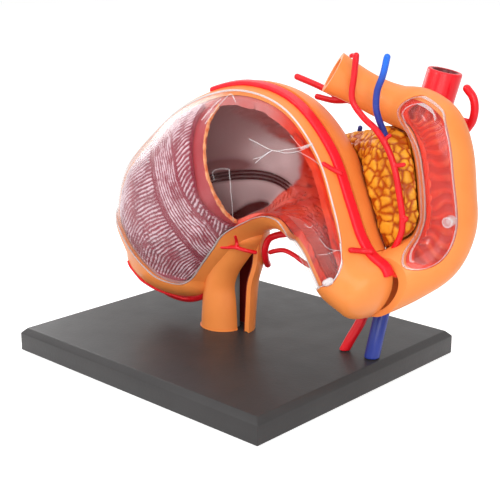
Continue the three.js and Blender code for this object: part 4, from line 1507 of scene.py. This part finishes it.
    def make_submucosa(self) -> None:
        """Smooth red step below the muscle coats, with a thin torn edge."""
        organ = self.organ
        outer = self.window_wall + self.muscle_thickness + 2 * FIT_GAP
        step = organ.stomach.skin(outer).shaped(
            (Join.CUT, organ.stomach.skin(outer + self.submucosa_thickness)),
            (Join.KEEP, organ.openings.stomach_space(self.lining_reveal + FIT_GAP)),
            (Join.KEEP, self.edge_space(self.submucosa_edge)))
        set_piece(step.finished(STEP_RED.material()), "submucosa_piece", Body.FRONT, "submucosa",
                  "submucosa_layer")
        edge = np.array(self.submucosa_edge)
        ahead, back = self.torn_reach
        bead = organ.stomach.skin(outer - self.torn_rise).shaped(
            (Join.CUT, organ.stomach.skin(outer + self.submucosa_thickness - self.torn_rise)),
            (Join.KEEP, organ.openings.stomach_space(self.lining_reveal + FIT_GAP)),
            (Join.KEEP, self.edge_space(edge + (ahead, 0))),
            (Join.CUT, self.edge_space(edge - (back, 0))))
        height, size = self.torn_wave
        softened(bead, cell=self.torn_cell, rounds=2)
        bead.moved(lambda p, n: (p + n * height * clouds(p, size)[:, None], {}))
        set_piece(bead.finished(TORN_EDGE.material(), sharp=80), "submucosa_torn_edge_piece", Body.FRONT,
                  "submucosa")

    def make_window(self) -> None:
        """Clear cover that closes the opening, its rim with the knob, and its moulded lines."""
        organ = self.organ
        space = organ.openings.stomach_space
        cover = organ.stomach.skin(0).shaped(
            (Join.CUT, organ.stomach.skin(self.window_wall - self.cover_relief)),
            (Join.KEEP, space(FIT_GAP + self.rim_width)))
        # Notes: scuffs_and_sheen covers scuffs and a painted grey sheen low on the right leg and over the
        # lower muscle coats. glare marks the upper left, where the painted edge reflection is kept in full.
        cover.moved(lambda p, n: (p, {
            "scuffs_and_sheen": np.maximum(0.6 * eased(p[:, 0], 18, 36) * eased(-p[:, 2], -74, -58),
                                 0.9 * eased(p[:, 0], -40, -26) * eased(-p[:, 0], -16, -8)
                                 * eased(-p[:, 2], -74, -62)),
            "glare": eased(p[:, 2], 40, 66) * eased(-p[:, 0], -14, 10)}))
        set_piece(cover.finished(ClearPlastic(scuff_and_sheen_share=0.035).material()), "stomach_window_piece",
                  Body.STOMACH_WINDOW, "clear", "stomach_window")
        rim = organ.stomach.skin(-self.rim_rise).shaped(
            (Join.CUT, organ.stomach.skin(self.window_wall - self.rim_relief)),
            (Join.KEEP, space(FIT_GAP)),
            (Join.CUT, space(FIT_GAP + self.rim_width)),
            (Join.ADD, self.line_on_cover(self.knob_radius, self.knob)))
        set_piece(rim.finished(CLEAR_EDGE.material()), "stomach_window_rim_piece",
                  Body.STOMACH_WINDOW, "clear")
        lines = [self.line_on_cover(radius, picks) for radius, picks in self.moulded_lines]
        star = lines[0].shaped(*[(Join.ADD, line) for line in lines[1:]])
        set_piece(star.finished(CLEAR_LINE.material()), "stomach_window_lines_piece",
                  Body.STOMACH_WINDOW, "clear")

    def line_on_cover(self, radius: float, picks: Outline) -> Solid:
        """Thin raised line on the cover.

        Args:
            radius: Radius of the line.
            picks: Places that it passes, as (station, angle in degrees).

        Returns:
            The solid.
        """
        stomach = self.organ.stomach
        way = smooth_through(picks, np.linspace(0, 1, 6 * len(picks) - 5))
        points = stomach.place(way[:, 0] / stomach.spans, np.radians(way[:, 1]), self.line_depth)
        return PipeForm(tuple((*point, radius) for point in points), sides=8, per_span=1,
                        cap_height=(radius, radius)).skin()

    def make_band(self) -> None:
        """Flat red vessel along the greater curvature."""
        organ = self.organ
        band = organ.stomach.skin(-self.band_thickness).shaped(
            (Join.CUT, organ.stomach.skin(self.band_overlap)),
            (Join.KEEP, block((self.band_start_x, self.band_y[0], -FAR), (FAR, self.band_y[1], FAR))),
            (Join.CUT, slab(np.array(self.band_inner_side), -FAR, FAR)))
        softened(band, cell=0.35, rounds=6)
        set_piece(band.finished(BAND_RED.material(), sharp=80), "gastroepiploic_band_piece", Body.FRONT,
                  "artery", "gastroepiploic_band")


@dataclass
class BackHalf:
    """Back half of the stomach with its folded lining."""

    organ: Organ
    relief: LiningRelief = field(default_factory=LiningRelief)
    lining_thickness: float = 2.0

    def build(self) -> None:
        """Makes the shell and the lining."""
        organ = self.organ
        shell = organ.stomach.skin(0, True).shaped(
            (Join.ADD, organ.back_neck.skin(0, organ.seat)),
            (Join.CUT, organ.stomach.skin(SHELL_WALL, True)),
            (Join.CUT, organ.back_neck.skin(SHELL_WALL, 0)),
            (Join.CUT, organ.duodenum_skin(SHELL_WALL)),
            (Join.KEEP, organ.behind()),
            (Join.CUT, organ.beside_pylorus(1, SEAM_GAP / 2)))
        set_piece(shell.finished(ORANGE.material()), "back_shell_piece", Body.ORGAN, "shell",
                  "stomach_back_shell")
        liner = organ.neck_liner(organ.back_neck).shaped((Join.KEEP, organ.behind()))
        set_piece(liner.finished(MAROON.material()), "back_neck_liner_piece", Body.ORGAN, "mucosa")
        inset = SHELL_WALL + FIT_GAP
        depth = inset + self.lining_thickness
        lining = organ.stomach.skin(inset, True).shaped(
            (Join.CUT, self.relief.inside(organ.stomach, depth, True)),
            (Join.CUT, organ.back_neck.skin(inset, 0)),
            (Join.KEEP, organ.behind()),
            (Join.CUT, organ.duodenum_skin(inset)),
            (Join.CUT, organ.beside_pylorus(1, SEAM_GAP / 2)))
        lining.moved(lambda p, n: (p, self.relief.notes(organ.stomach, p, depth, True)))
        set_piece(lining.finished(LiningPaint().material(), sharp=60), "mucosa_back_piece", Body.ORGAN,
                  "mucosa", "mucosa_back")


@dataclass
class DuodenumLoop:
    """Loop of the duodenum with its ringed lining and its clear window."""

    organ: Organ
    lining_thickness: float = 1.3
    lining_left_x: float = 62
    lining_bottom_z: float = 47
    lining_reveal: float = 1.2
    fold_height: float = 0.65
    fold_count: float = 34
    window_wall: float = 0.9
    rim_width: float = 0.22
    rim_rise: float = 0.1
    rim_depth: float = 0.6
    flange_width: float = 2.2
    flange_overlap: float = 0.06
    flange_end_x: float = 81.5
    lumen_inset: float = 2.6
    lumen_end_y: float = 20
    lug_foot: tuple[float, float, float] = (89.3, 13.2, 67)
    lug_tip: tuple[float, float, float] = (90, 9.6, 67)
    lug_radius: float = 1.9
    lug_bore: float = 1.4

    def build(self) -> None:
        """Makes the shell, the lining and the window."""
        organ = self.organ
        shell = organ.stomach.skin(0, True).shaped(
            (Join.KEEP, organ.beside_pylorus(1, 0)),
            (Join.ADD, organ.duodenum.skin()),
            (Join.CUT, organ.stomach.skin(SHELL_WALL, True)),
            (Join.CUT, organ.duodenum_skin(SHELL_WALL)),
            (Join.KEEP, organ.behind()),
            (Join.CUT, organ.beside_pylorus(-1, SEAM_GAP / 2)),
            (Join.CUT, organ.openings.duodenum_space(0)))
        set_piece(shell.finished(ORANGE.material()), "duodenum_shell_piece", Body.ORGAN, "shell",
                  "duodenum_shell")
        self.make_lining()
        self.make_window()

    def make_lining(self) -> None:
        """Red lining with circular folds."""
        organ = self.organ
        inset = SHELL_WALL + FIT_GAP
        lining = organ.duodenum_skin(inset).shaped(
            (Join.CUT, self.folded_inside(inset + self.lining_thickness)),
            (Join.KEEP, block((self.lining_left_x, 0, self.lining_bottom_z), (FAR, FAR, FAR))),
            (Join.CUT, organ.openings.duodenum_space(self.lining_reveal)),
            (Join.CUT, slab(organ.openings.duodenum_outline(self.lumen_inset), -FAR, self.lumen_end_y)))
        lining.moved(self.note_folds)
        set_piece(lining.finished(DUODENUM_LINING.material(), sharp=60), "duodenum_lining_piece",
                  Body.ORGAN, "mucosa", "duodenum_lining")

    def folded_inside(self, inset: float) -> Solid:
        """Inner face of the lining, with close circular folds.

        Args:
            inset: Depth of the lining's ground below the duodenum's outer face.

        Returns:
            The solid that the lining is hollowed with.
        """
        form = PipeForm((*self.organ.duodenum.stations, self.organ.open_end), sides=96, per_span=26)
        rings = form.rings(inset)
        at = np.linspace(0, 1, len(rings))[:, None]
        angle = np.linspace(0, 2 * np.pi, form.sides, endpoint=False)[None, :]
        phase = self.fold_count * at + 0.16 * np.sin(3 * angle + 40 * at) + 0.1 * np.sin(5 * angle - 23 * at)
        fold = (0.5 + 0.5 * np.cos(2 * np.pi * phase)) ** 1.6
        centre = rings.mean(1, keepdims=True)
        spoke = (centre - rings) / np.linalg.norm(centre - rings, axis=2, keepdims=True)
        return skin_over(rings + spoke * (self.fold_height * fold)[..., None], "folded_inside")

    def note_folds(self, points: np.ndarray, _: np.ndarray) -> tuple[np.ndarray, Notes]:
        """Notes how far each place of the lining stands up from its ground.

        Args:
            points: Vertices of the lining, in millimetres.

        Returns:
            The same vertices, and values by name for the paint.
        """
        centre, _, radius = self.organ.duodenum.axis(np.linspace(0, 1, 400))
        gap = np.linalg.norm(points[:, None] - centre[None], axis=2)
        nearest = gap.argmin(1)
        inner = radius[nearest] - SHELL_WALL - FIT_GAP - self.lining_thickness - gap.min(1)
        whole = np.ones(len(points))
        return points, {"fold": np.clip(inner / self.fold_height, 0, 1), "red": whole,
                        "inlet": 0 * whole, "light": 0 * whole, "bright": whole, "arch": 0 * whole}

    def make_window(self) -> None:
        """Clear cover, and its rim and inner line with the oval lug."""
        organ = self.organ
        foot, tip = self.lug_foot, self.lug_tip
        bore_foot = (foot[0] * 1.05 - tip[0] * 0.05, foot[1] - 1, foot[2], self.lug_bore)
        bore = PipeForm((bore_foot, (*(2 * np.array(tip) - foot), self.lug_bore)), 32)
        lug = PipeForm(((*foot, self.lug_radius), (*tip, self.lug_radius)), 32).skin()
        lug.shaped((Join.CUT, bore.skin()))
        space, width = organ.openings.duodenum_space, self.rim_width
        window = organ.duodenum.skin().shaped(
            (Join.CUT, organ.duodenum.skin(self.window_wall)),
            (Join.KEEP, space(FIT_GAP + width)))
        set_piece(window.finished(CLEAR_DUODENUM.material()), "duodenum_window_piece",
                  Body.DUODENUM_WINDOW, "clear", "duodenum_window")
        inner = FIT_GAP + self.flange_width
        past_end = block((self.flange_end_x, -FAR, 0), (FAR, FAR, FAR))
        rim = organ.duodenum.skin(-self.rim_rise).shaped(
            (Join.CUT, organ.duodenum.skin(self.rim_depth)),
            (Join.KEEP, space(FIT_GAP)),
            (Join.CUT, space(FIT_GAP + width).shaped((Join.CUT, space(inner)))),
            (Join.CUT, space(inner + width)),
            (Join.CUT, space(inner - self.flange_overlap).shaped((Join.KEEP, past_end))),
            (Join.ADD, lug))
        set_piece(rim.finished(CLEAR_LINE.material()), "duodenum_window_rim_piece",
                  Body.DUODENUM_WINDOW, "clear")


@dataclass
class Gland:
    """Pancreas: a tapering body of small lobes with its head in the bend of the duodenum."""

    organ: Organ
    stations: Sequence[PipeStation] = (
        (68.8, 14.5, 53.8, 8.2), (66, 18, 65, 13.2), (64, 18, 74, 13.8), (61, 19, 83.5, 12.5),
        (50, 23.5, 84.5, 9), (32, 27.8, 82, 7), (10, 28.2, 80, 6), (-15, 26.8, 73, 4.5))
    front_y: float = 7.6
    lobe_size: float = 4.0
    bud_share: float = 2.1
    crease_width: float = 0.5
    crease: float = 1.0
    seed: int = 7

    def build(self) -> None:
        """Makes the gland."""
        organ = self.organ
        body = PipeForm(self.stations, sides=96, per_span=24, cap_height=(4, 3)).skin().shaped(
            (Join.KEEP, organ.behind(self.front_y)),
            (Join.CUT, organ.duodenum_skin(-FIT_GAP)),
            (Join.CUT, organ.stomach.skin(-FIT_GAP, True)),
            (Join.CUT, slab(organ.openings.duodenum_outline(-FIT_GAP), -FAR, organ.openings.duodenum_rim_y)),
            (Join.CUT, organ.aorta_skin(organ.aorta_radius + FIT_GAP)))
        softened(body, cell=0.5, rounds=2).moved(self.lobes)
        set_piece(body.finished(GlandPaint().material(), sharp=80), "pancreas_piece", Body.ORGAN,
                  "pancreas", "pancreas")

    def lobes(self, points: np.ndarray, normals: np.ndarray) -> tuple[np.ndarray, Notes]:
        """Sinks the creases between the lobes.

        Args:
            points: Vertices of the gland, in millimetres.
            normals: Their normals.

        Returns:
            The vertices with the creases sunk in, and how high each lies.
        """
        noise.seed_set(self.seed)
        height, fine = np.zeros(len(points)), np.zeros(len(points))
        for index, point in enumerate(points):
            bend = noise.noise_vector(Vector(point / 5.0)) * 0.3
            near, far = noise.voronoi(Vector(point / self.lobe_size) + bend)[0][:2]
            height[index] = min((far - near) / self.crease_width, 1.0)
            near, far = noise.voronoi(Vector(point / self.lobe_size * self.bud_share) + bend)[0][:2]
            fine[index] = min((far - near) / self.crease_width, 1.0)
        dome, bud = np.sqrt(np.clip(height, 0, 1)), np.sqrt(np.clip(fine, 0, 1))
        sink = self.crease * (1 - dome) + 0.3 * self.crease * (1 - bud) * dome
        return points - normals * sink[:, None], {"lobe": dome * (0.72 + 0.28 * bud)}


class Side(Enum):
    """Side of the seam that a vessel is laid on, whose organs are cut out of it."""

    FRONT = "front"
    BACK = "back"


@dataclass(frozen=True)
class Vessel:
    """One vessel with its side branches, as a radius and a path of (x, y, z) each.

    A vessel with a flat foot ends on the base plate, and an extra one has no node of its own.
    """

    node: str
    body: Body
    side: Side
    slot: str
    paths: tuple[tuple[float, tuple[tuple[float, float, float], ...]], ...]
    flat_foot: bool = False
    extra: bool = False


VESSELS = (
    Vessel("epiploic_branch_upper", Body.FRONT, Side.FRONT, "artery", (
        (0.9, ((54.6, -4, 81.2), (52.1, -6.2, 82.9), (50.3, -8.2, 84.5))),)),
    Vessel("epiploic_branch_lower", Body.FRONT, Side.FRONT, "artery", (
        (1, ((68.6, -4, 55.6), (66.1, -5.5, 55.6), (65.1, -7, 55.9), (63.9, -9.2, 56.3))),)),
    Vessel("fundus_artery", Body.FRONT, Side.FRONT, "artery", (
        (2.2, ((-41, -3, 20.5), (-36.5, -3, 18.6), (-31, -3, 17.9), (-23, -3, 18.6),
               (-15.5, -3, 21.6), (-12, -2.8, 24))),)),
    Vessel("fundus_branch", Body.FRONT, Side.FRONT, "artery", (
        (0.6, ((-47.6, -14.7, 31.5), (-46.2, -15, 29.9), (-43.2, -15.4, 28.2), (-39.6, -14.9, 25.3),
               (-36.6, -14.5, 24.1), (-33.9, -13.4, 22.7), (-30.5, -11.4, 21.2), (-26.5, -9.2, 20.1),
               (-23, -6.6, 18.8), (-21, -4, 18.4))),), extra=True),
    Vessel("anterior_gastric_artery", Body.FRONT, Side.FRONT, "artery", (
        (0.8, ((3.6, -11.3, 46.6), (5.5, -9.5, 46.5), (8.8, -9, 46.9), (12.9, -7.8, 46.3),
               (15.2, -4.8, 45.3))),
        (0.7, ((10.3, -10.7, 52.2), (8.9, -8.5, 49), (9.6, -8.9, 46.7))))),
    Vessel("left_gastric_artery", Body.ORGAN, Side.BACK, "artery", (
        (1.35, ((10.5, 7.5, 37), (13, 3.4, 41), (14.2, 1.9, 45.4), (16, 1.9, 49.3),
                (20, 1.9, 51.6), (27, 2.4, 53.6))),)),
    Vessel("right_gastric_artery", Body.ORGAN, Side.BACK, "artery", (
        (0.95, ((16.8, 2, 44.3), (19.5, 1.6, 45.4), (24, 1.6, 46.5), (29, 1.6, 45.6),
                (34.2, 1.6, 43.6), (41, 1.8, 42.4), (47, 3, 42.6))),)),
    Vessel("superior_mesenteric_artery", Body.ORGAN, Side.BACK, "artery", (
        (1.15, ((53.7, 4.3, 121), (53.6, 4.1, 118), (53.3, 4, 114.3), (52.4, 4.5, 105.6),
                (56.5, 5.5, 100), (61.8, 6.1, 96), (67.2, 6.1, 89.6), (70.3, 6.1, 83),
                (72.5, 6.1, 74.5), (74.2, 6.1, 66.6), (74, 6.1, 61.6), (71.8, 5.5, 55.6),
                (70, 4.5, 52))),
        (0.8, ((53.7, 4.3, 120.6), (52.6, 4.3, 121), (51.6, 4.3, 120.8))),
        (0.75, ((65, 6.2, 91.6), (66.2, 6.2, 93.4), (67.6, 6.2, 94.6))),
        (0.8, ((70.6, 6.2, 84.6), (72.3, 6.2, 84.9), (73.8, 6.2, 85.3))),
        (1, ((74.2, 6.1, 65), (75, 6, 65.8), (75.7, 6, 66.7))))),
    Vessel("superior_mesenteric_vein", Body.ORGAN, Side.BACK, "vein", (
        (1.2, ((66.9, 4, 121.3), (65.2, 4.3, 115.1), (62.7, 4.8, 109.5), (62, 5.5, 103.6),
               (61.7, 8, 99), (62, 11, 94))),)),
    Vessel("portal_vein", Body.ORGAN, Side.BACK, "vein", (
        (2.9, ((59, 10.5, 5), (59.3, 13, 14.5), (59, 17, 24.5), (58, 22.3, 36), (58.5, 25, 48),
               (61, 24, 62))),), True),
    Vessel("hepatic_artery", Body.ORGAN, Side.BACK, "artery", (
        (2, ((45.2, 9.5, 5), (48.4, 12.5, 14), (51, 16, 22), (51.8, 20, 33), (52.6, 23, 46),
             (55.5, 22.5, 60))),), True),
    Vessel("colic_artery", Body.ORGAN, Side.BACK, "artery", (
        (1.3, ((5.5, 30, 108.3), (16.7, 30, 105.5), (29, 31, 101.5), (42, 32.5, 98.6),
               (52, 34, 97.5), (62, 38, 98.5))),
        (1.2, ((15.5, 30.5, 101.3), (24, 30.5, 100.5), (31, 31, 101.2))))),
    Vessel("inferior_mesenteric_vein", Body.ORGAN, Side.BACK, "vein", (
        (0.95, ((37.8, 29, 91.6), (37.2, 29, 88), (36.4, 29, 83))),)),
    Vessel("side_artery", Body.ORGAN, Side.BACK, "artery", (
        (1.5, ((77.9, 37.5, 108.8), (80.6, 37.5, 105.8), (81.5, 37.5, 102), (80.8, 37.5, 97.5),
               (78.9, 37.7, 94.7))),
        (1.1, ((80, 37.6, 97), (74.5, 38, 97.6), (64, 38, 99))))),
)


@dataclass
class VesselTree:
    """The aorta and every vessel that is laid on the organs."""

    organ: Organ
    aorta_wall: float = 1.8
    overlong: float = 4.0
    room_above: float = 20
    mouth_facing: tuple[float, float, float] = (0.2, 0.077, 1.0)
    sunk: float = 0.15
    vessel_cell: float = 0.24
    blue_tip: tuple[float, float] = (110, 120)

    def build(self) -> None:
        """Makes the aorta and the vessels."""
        self.make_aorta()
        organ = self.organ
        front = organ.stomach.skin(self.sunk).shaped((Join.ADD, organ.front_neck.skin(self.sunk, 0)))
        back = organ.stomach.skin(self.sunk, True).shaped(
            (Join.ADD, organ.back_neck.skin(self.sunk, 0)),
            (Join.ADD, organ.duodenum.skin(self.sunk)),
            (Join.ADD, organ.aorta_skin(organ.aorta_radius - self.sunk)))
        seats = {Side.FRONT: front, Side.BACK: back}
        paints = {"artery": RED_GLOSS.material(), "vein": BLUE_GLOSS.material()}
        for vessel in VESSELS:
            self.make_vessel(vessel, seats, paints[vessel.slot])

    def make_aorta(self) -> None:
        """Open trunk with a rounded rim."""
        organ = self.organ
        foot, top = np.array(organ.aorta_foot), np.array(organ.aorta_top)
        axis = (top - foot) / np.linalg.norm(top - foot)
        along = axis * self.aorta_wall
        radius = organ.aorta_radius - self.aorta_wall
        far = top + axis * self.overlong
        bore = PipeForm(((*(foot + along), radius), (*(far + along), radius)), organ.aorta_sides).skin()
        room = self.room_above
        above = block((-room, -room, 0), (room, room, room))
        lean = Vector(self.mouth_facing).to_track_quat("Z", "Y").to_matrix().to_4x4()
        above.object.matrix_world = Matrix.Translation(Vector(top) * MM) @ lean
        pipe = PipeForm(((*foot, organ.aorta_radius), (*far, organ.aorta_radius)), organ.aorta_sides)
        trunk = pipe.skin().shaped((Join.CUT, bore), (Join.CUT, above))

        def inside(points: np.ndarray, _: np.ndarray) -> tuple[np.ndarray, Notes]:
            """Notes the bore, which is painted darker than the rim.

            Args:
                points: Vertices of the trunk, in millimetres.

            Returns:
                The same vertices, and how far inside the bore each lies.
            """
            away = points - foot
            reach = np.linalg.norm(away - np.outer(away @ axis, axis), axis=1)
            return points, {"accent": eased(-reach, -radius - 0.5, -radius - 0.1)}

        softened(trunk, cell=0.4, rounds=5).moved(inside)
        set_piece(trunk.finished(AORTA_RED.material(), sharp=80), "aorta_piece", Body.ORGAN, "artery",
                  "aorta")

    def make_vessel(self, vessel: Vessel, seats: dict[Side, Solid], paint: bpy.types.Material) -> None:
        """Trunk and branches run into one, with round ends.

        Args:
            vessel: The vessel.
            seats: What is cut out of it, by the side that it is laid on.
            paint: Its finish.
        """
        pipes = [PipeForm(tuple((*point, radius) for point in path), sides=20, per_span=8,
                          cap_height=(radius, radius)).skin() for radius, path in vessel.paths]
        steps = [(Join.ADD, pipe) for pipe in pipes[1:]]
        steps.append((Join.CUT, seats[vessel.side]))
        if vessel.flat_foot:
            steps.append((Join.KEEP, block((-FAR, -FAR, self.organ.seat), (FAR, FAR, FAR))))
        solid = softened(pipes[0].shaped(*steps), cell=self.vessel_cell, rounds=3)
        if vessel.node == "superior_mesenteric_vein":
            solid.moved(lambda p, n: (p, {"accent": eased(p[:, 2], *self.blue_tip)}))
            paint = VEIN_TIP.material()
        nodes = () if vessel.extra else (vessel.node,)
        set_piece(solid.finished(paint, sharp=80), vessel.node + "_piece", vessel.body, vessel.slot,
                  *nodes)


@dataclass
class Studio:
    """Floor, lights and the camera at the photograph's viewing angle.

    The camera's aim and distance are in millimetres, and the floor and the lights in metres. A light
    has a name, a place, a size and a power.
    """

    target: tuple[float, float, float] = (-3.2, 12.0, 39.4)
    azimuth: float = 42.86
    elevation: float = 15.47
    distance: float = 423.5
    lens: float = 75.23
    film: float = 36
    lights: Sequence[tuple[str, tuple[float, float, float], float, float]] = (
        ("key", (-0.35, -0.8, 0.7), 0.9, 2.9), ("fill", (0.85, -0.4, 0.32), 0.8, 1.3),
        ("top", (0.05, 0.25, 0.95), 0.8, 2.3), ("left", (-0.95, 0.2, 0.42), 0.5, 2.8),
        ("strip", (-0.25, -0.95, 0.7), 0.16, 1.3), ("front", (0.46, -0.5, 0.4), 0.5, 2.5),
    )
    world_glow: float = 0.52
    floor_size: float = 6.0
    floor_drop: float = 0.0002
    floor_colour: float = 0.8
    floor_glow: float = 0.6

    def build(self) -> None:
        """Makes the floor, the world, the lights and the camera."""
        self.make_floor()
        self.make_world()
        for light in self.lights:
            self.make_light(*light)
        self.make_camera()
        bpy.context.scene.view_settings.view_transform = "Standard"

    @staticmethod
    def seen_rays(tree: bpy.types.NodeTree) -> Socket:
        """Tells what is seen from light on the object.

        Args:
            tree: Node tree that needs it.

        Returns:
            1 for rays of the camera, of gloss and of clear pieces, and 0 for the others.
        """
        path = tree.nodes.new("ShaderNodeLightPath")
        total = path.outputs["Is Camera Ray"]
        for name in ("Is Glossy Ray", "Is Transmission Ray"):
            either = tree.nodes.new("ShaderNodeMath")
            either.operation = "MAXIMUM"
            tree.links.new(total, either.inputs[0])
            tree.links.new(path.outputs[name], either.inputs[1])
            total = either.outputs[0]
        return total

    def make_floor(self) -> None:
        """Plain white floor that keeps the object's shadow."""
        bm = bmesh.new()
        bmesh.ops.create_grid(bm, x_segments=1, y_segments=1, size=self.floor_size / 2)
        bmesh.ops.translate(bm, vec=(0, 0, -self.floor_drop), verts=bm.verts)
        mesh = bpy.data.meshes.new("floor")
        bm.to_mesh(mesh)
        bm.free()
        floor = bpy.data.objects.new("floor", mesh)
        bpy.context.scene.collection.objects.link(floor)
        paint = Paint("white_floor")
        paint.shader.inputs["Base Color"].default_value = (*[self.floor_colour] * 3, 1)
        paint.set(Roughness=0.9, Specular_IOR_Level=0.1)
        paint.shader.inputs["Emission Color"].default_value = (1, 1, 1, 1)
        glow = paint.maths("MULTIPLY", self.seen_rays(paint.tree), self.floor_glow)
        paint.link(glow, "Emission Strength")
        mesh.materials.append(paint.material)

    def make_world(self) -> None:
        """White surroundings, dimmer as light than as background."""
        world = bpy.data.worlds.new("studio")
        bpy.context.scene.world = world
        world.use_nodes = True
        tree = world.node_tree
        background = tree.nodes["Background"]
        background.inputs["Color"].default_value = (1, 1, 1, 1)
        strength = tree.nodes.new("ShaderNodeMapRange")
        strength.inputs["To Min"].default_value = self.world_glow
        strength.inputs["To Max"].default_value = 1.0
        tree.links.new(self.seen_rays(tree), strength.inputs["Value"])
        tree.links.new(strength.outputs[0], background.inputs["Strength"])

    def make_light(self, name: str, place: Sequence[float], size: float, power: float) -> None:
        """Square soft light that faces the object.

        Args:
            name: Its name.
            place: Where it stands, in metres.
            size: Length of its sides, in metres.
            power: Its power, in watts.
        """
        data = bpy.data.lights.new(name, "AREA")
        data.size = size
        data.energy = power
        light = bpy.data.objects.new(name, data)
        bpy.context.scene.collection.objects.link(light)
        light.location = place
        aim = Vector(self.target) * MM - Vector(place)
        light.rotation_euler = aim.to_track_quat("-Z", "Y").to_euler()

    def make_camera(self) -> None:
        """Camera fitted to the photograph."""
        data = bpy.data.cameras.new("camera")
        data.lens = self.lens
        data.sensor_width = self.film
        data.clip_start = 0.01
        camera = bpy.data.objects.new("camera", data)
        bpy.context.scene.collection.objects.link(camera)
        turn, tilt = math.radians(self.azimuth), math.radians(self.elevation)
        away = Vector((math.sin(turn) * math.cos(tilt), -math.cos(turn) * math.cos(tilt), math.sin(tilt)))
        camera.location = (Vector(self.target) + away * self.distance) * MM
        camera.rotation_euler = (-away).to_track_quat("-Z", "Y").to_euler()
        bpy.context.scene.camera = camera


def main() -> None:
    """Builds the model, then the studio."""
    logging.basicConfig(level=logging.INFO, format="%(message)s")
    organ = Organ()
    for part in (Stand(), FrontHalf(organ), BackHalf(organ), DuodenumLoop(organ), Gland(organ),
                 VesselTree(organ)):
        part.build()
    Solid.clear_bench()
    Studio().build()
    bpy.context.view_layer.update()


if __name__ == "__main__":
    main()
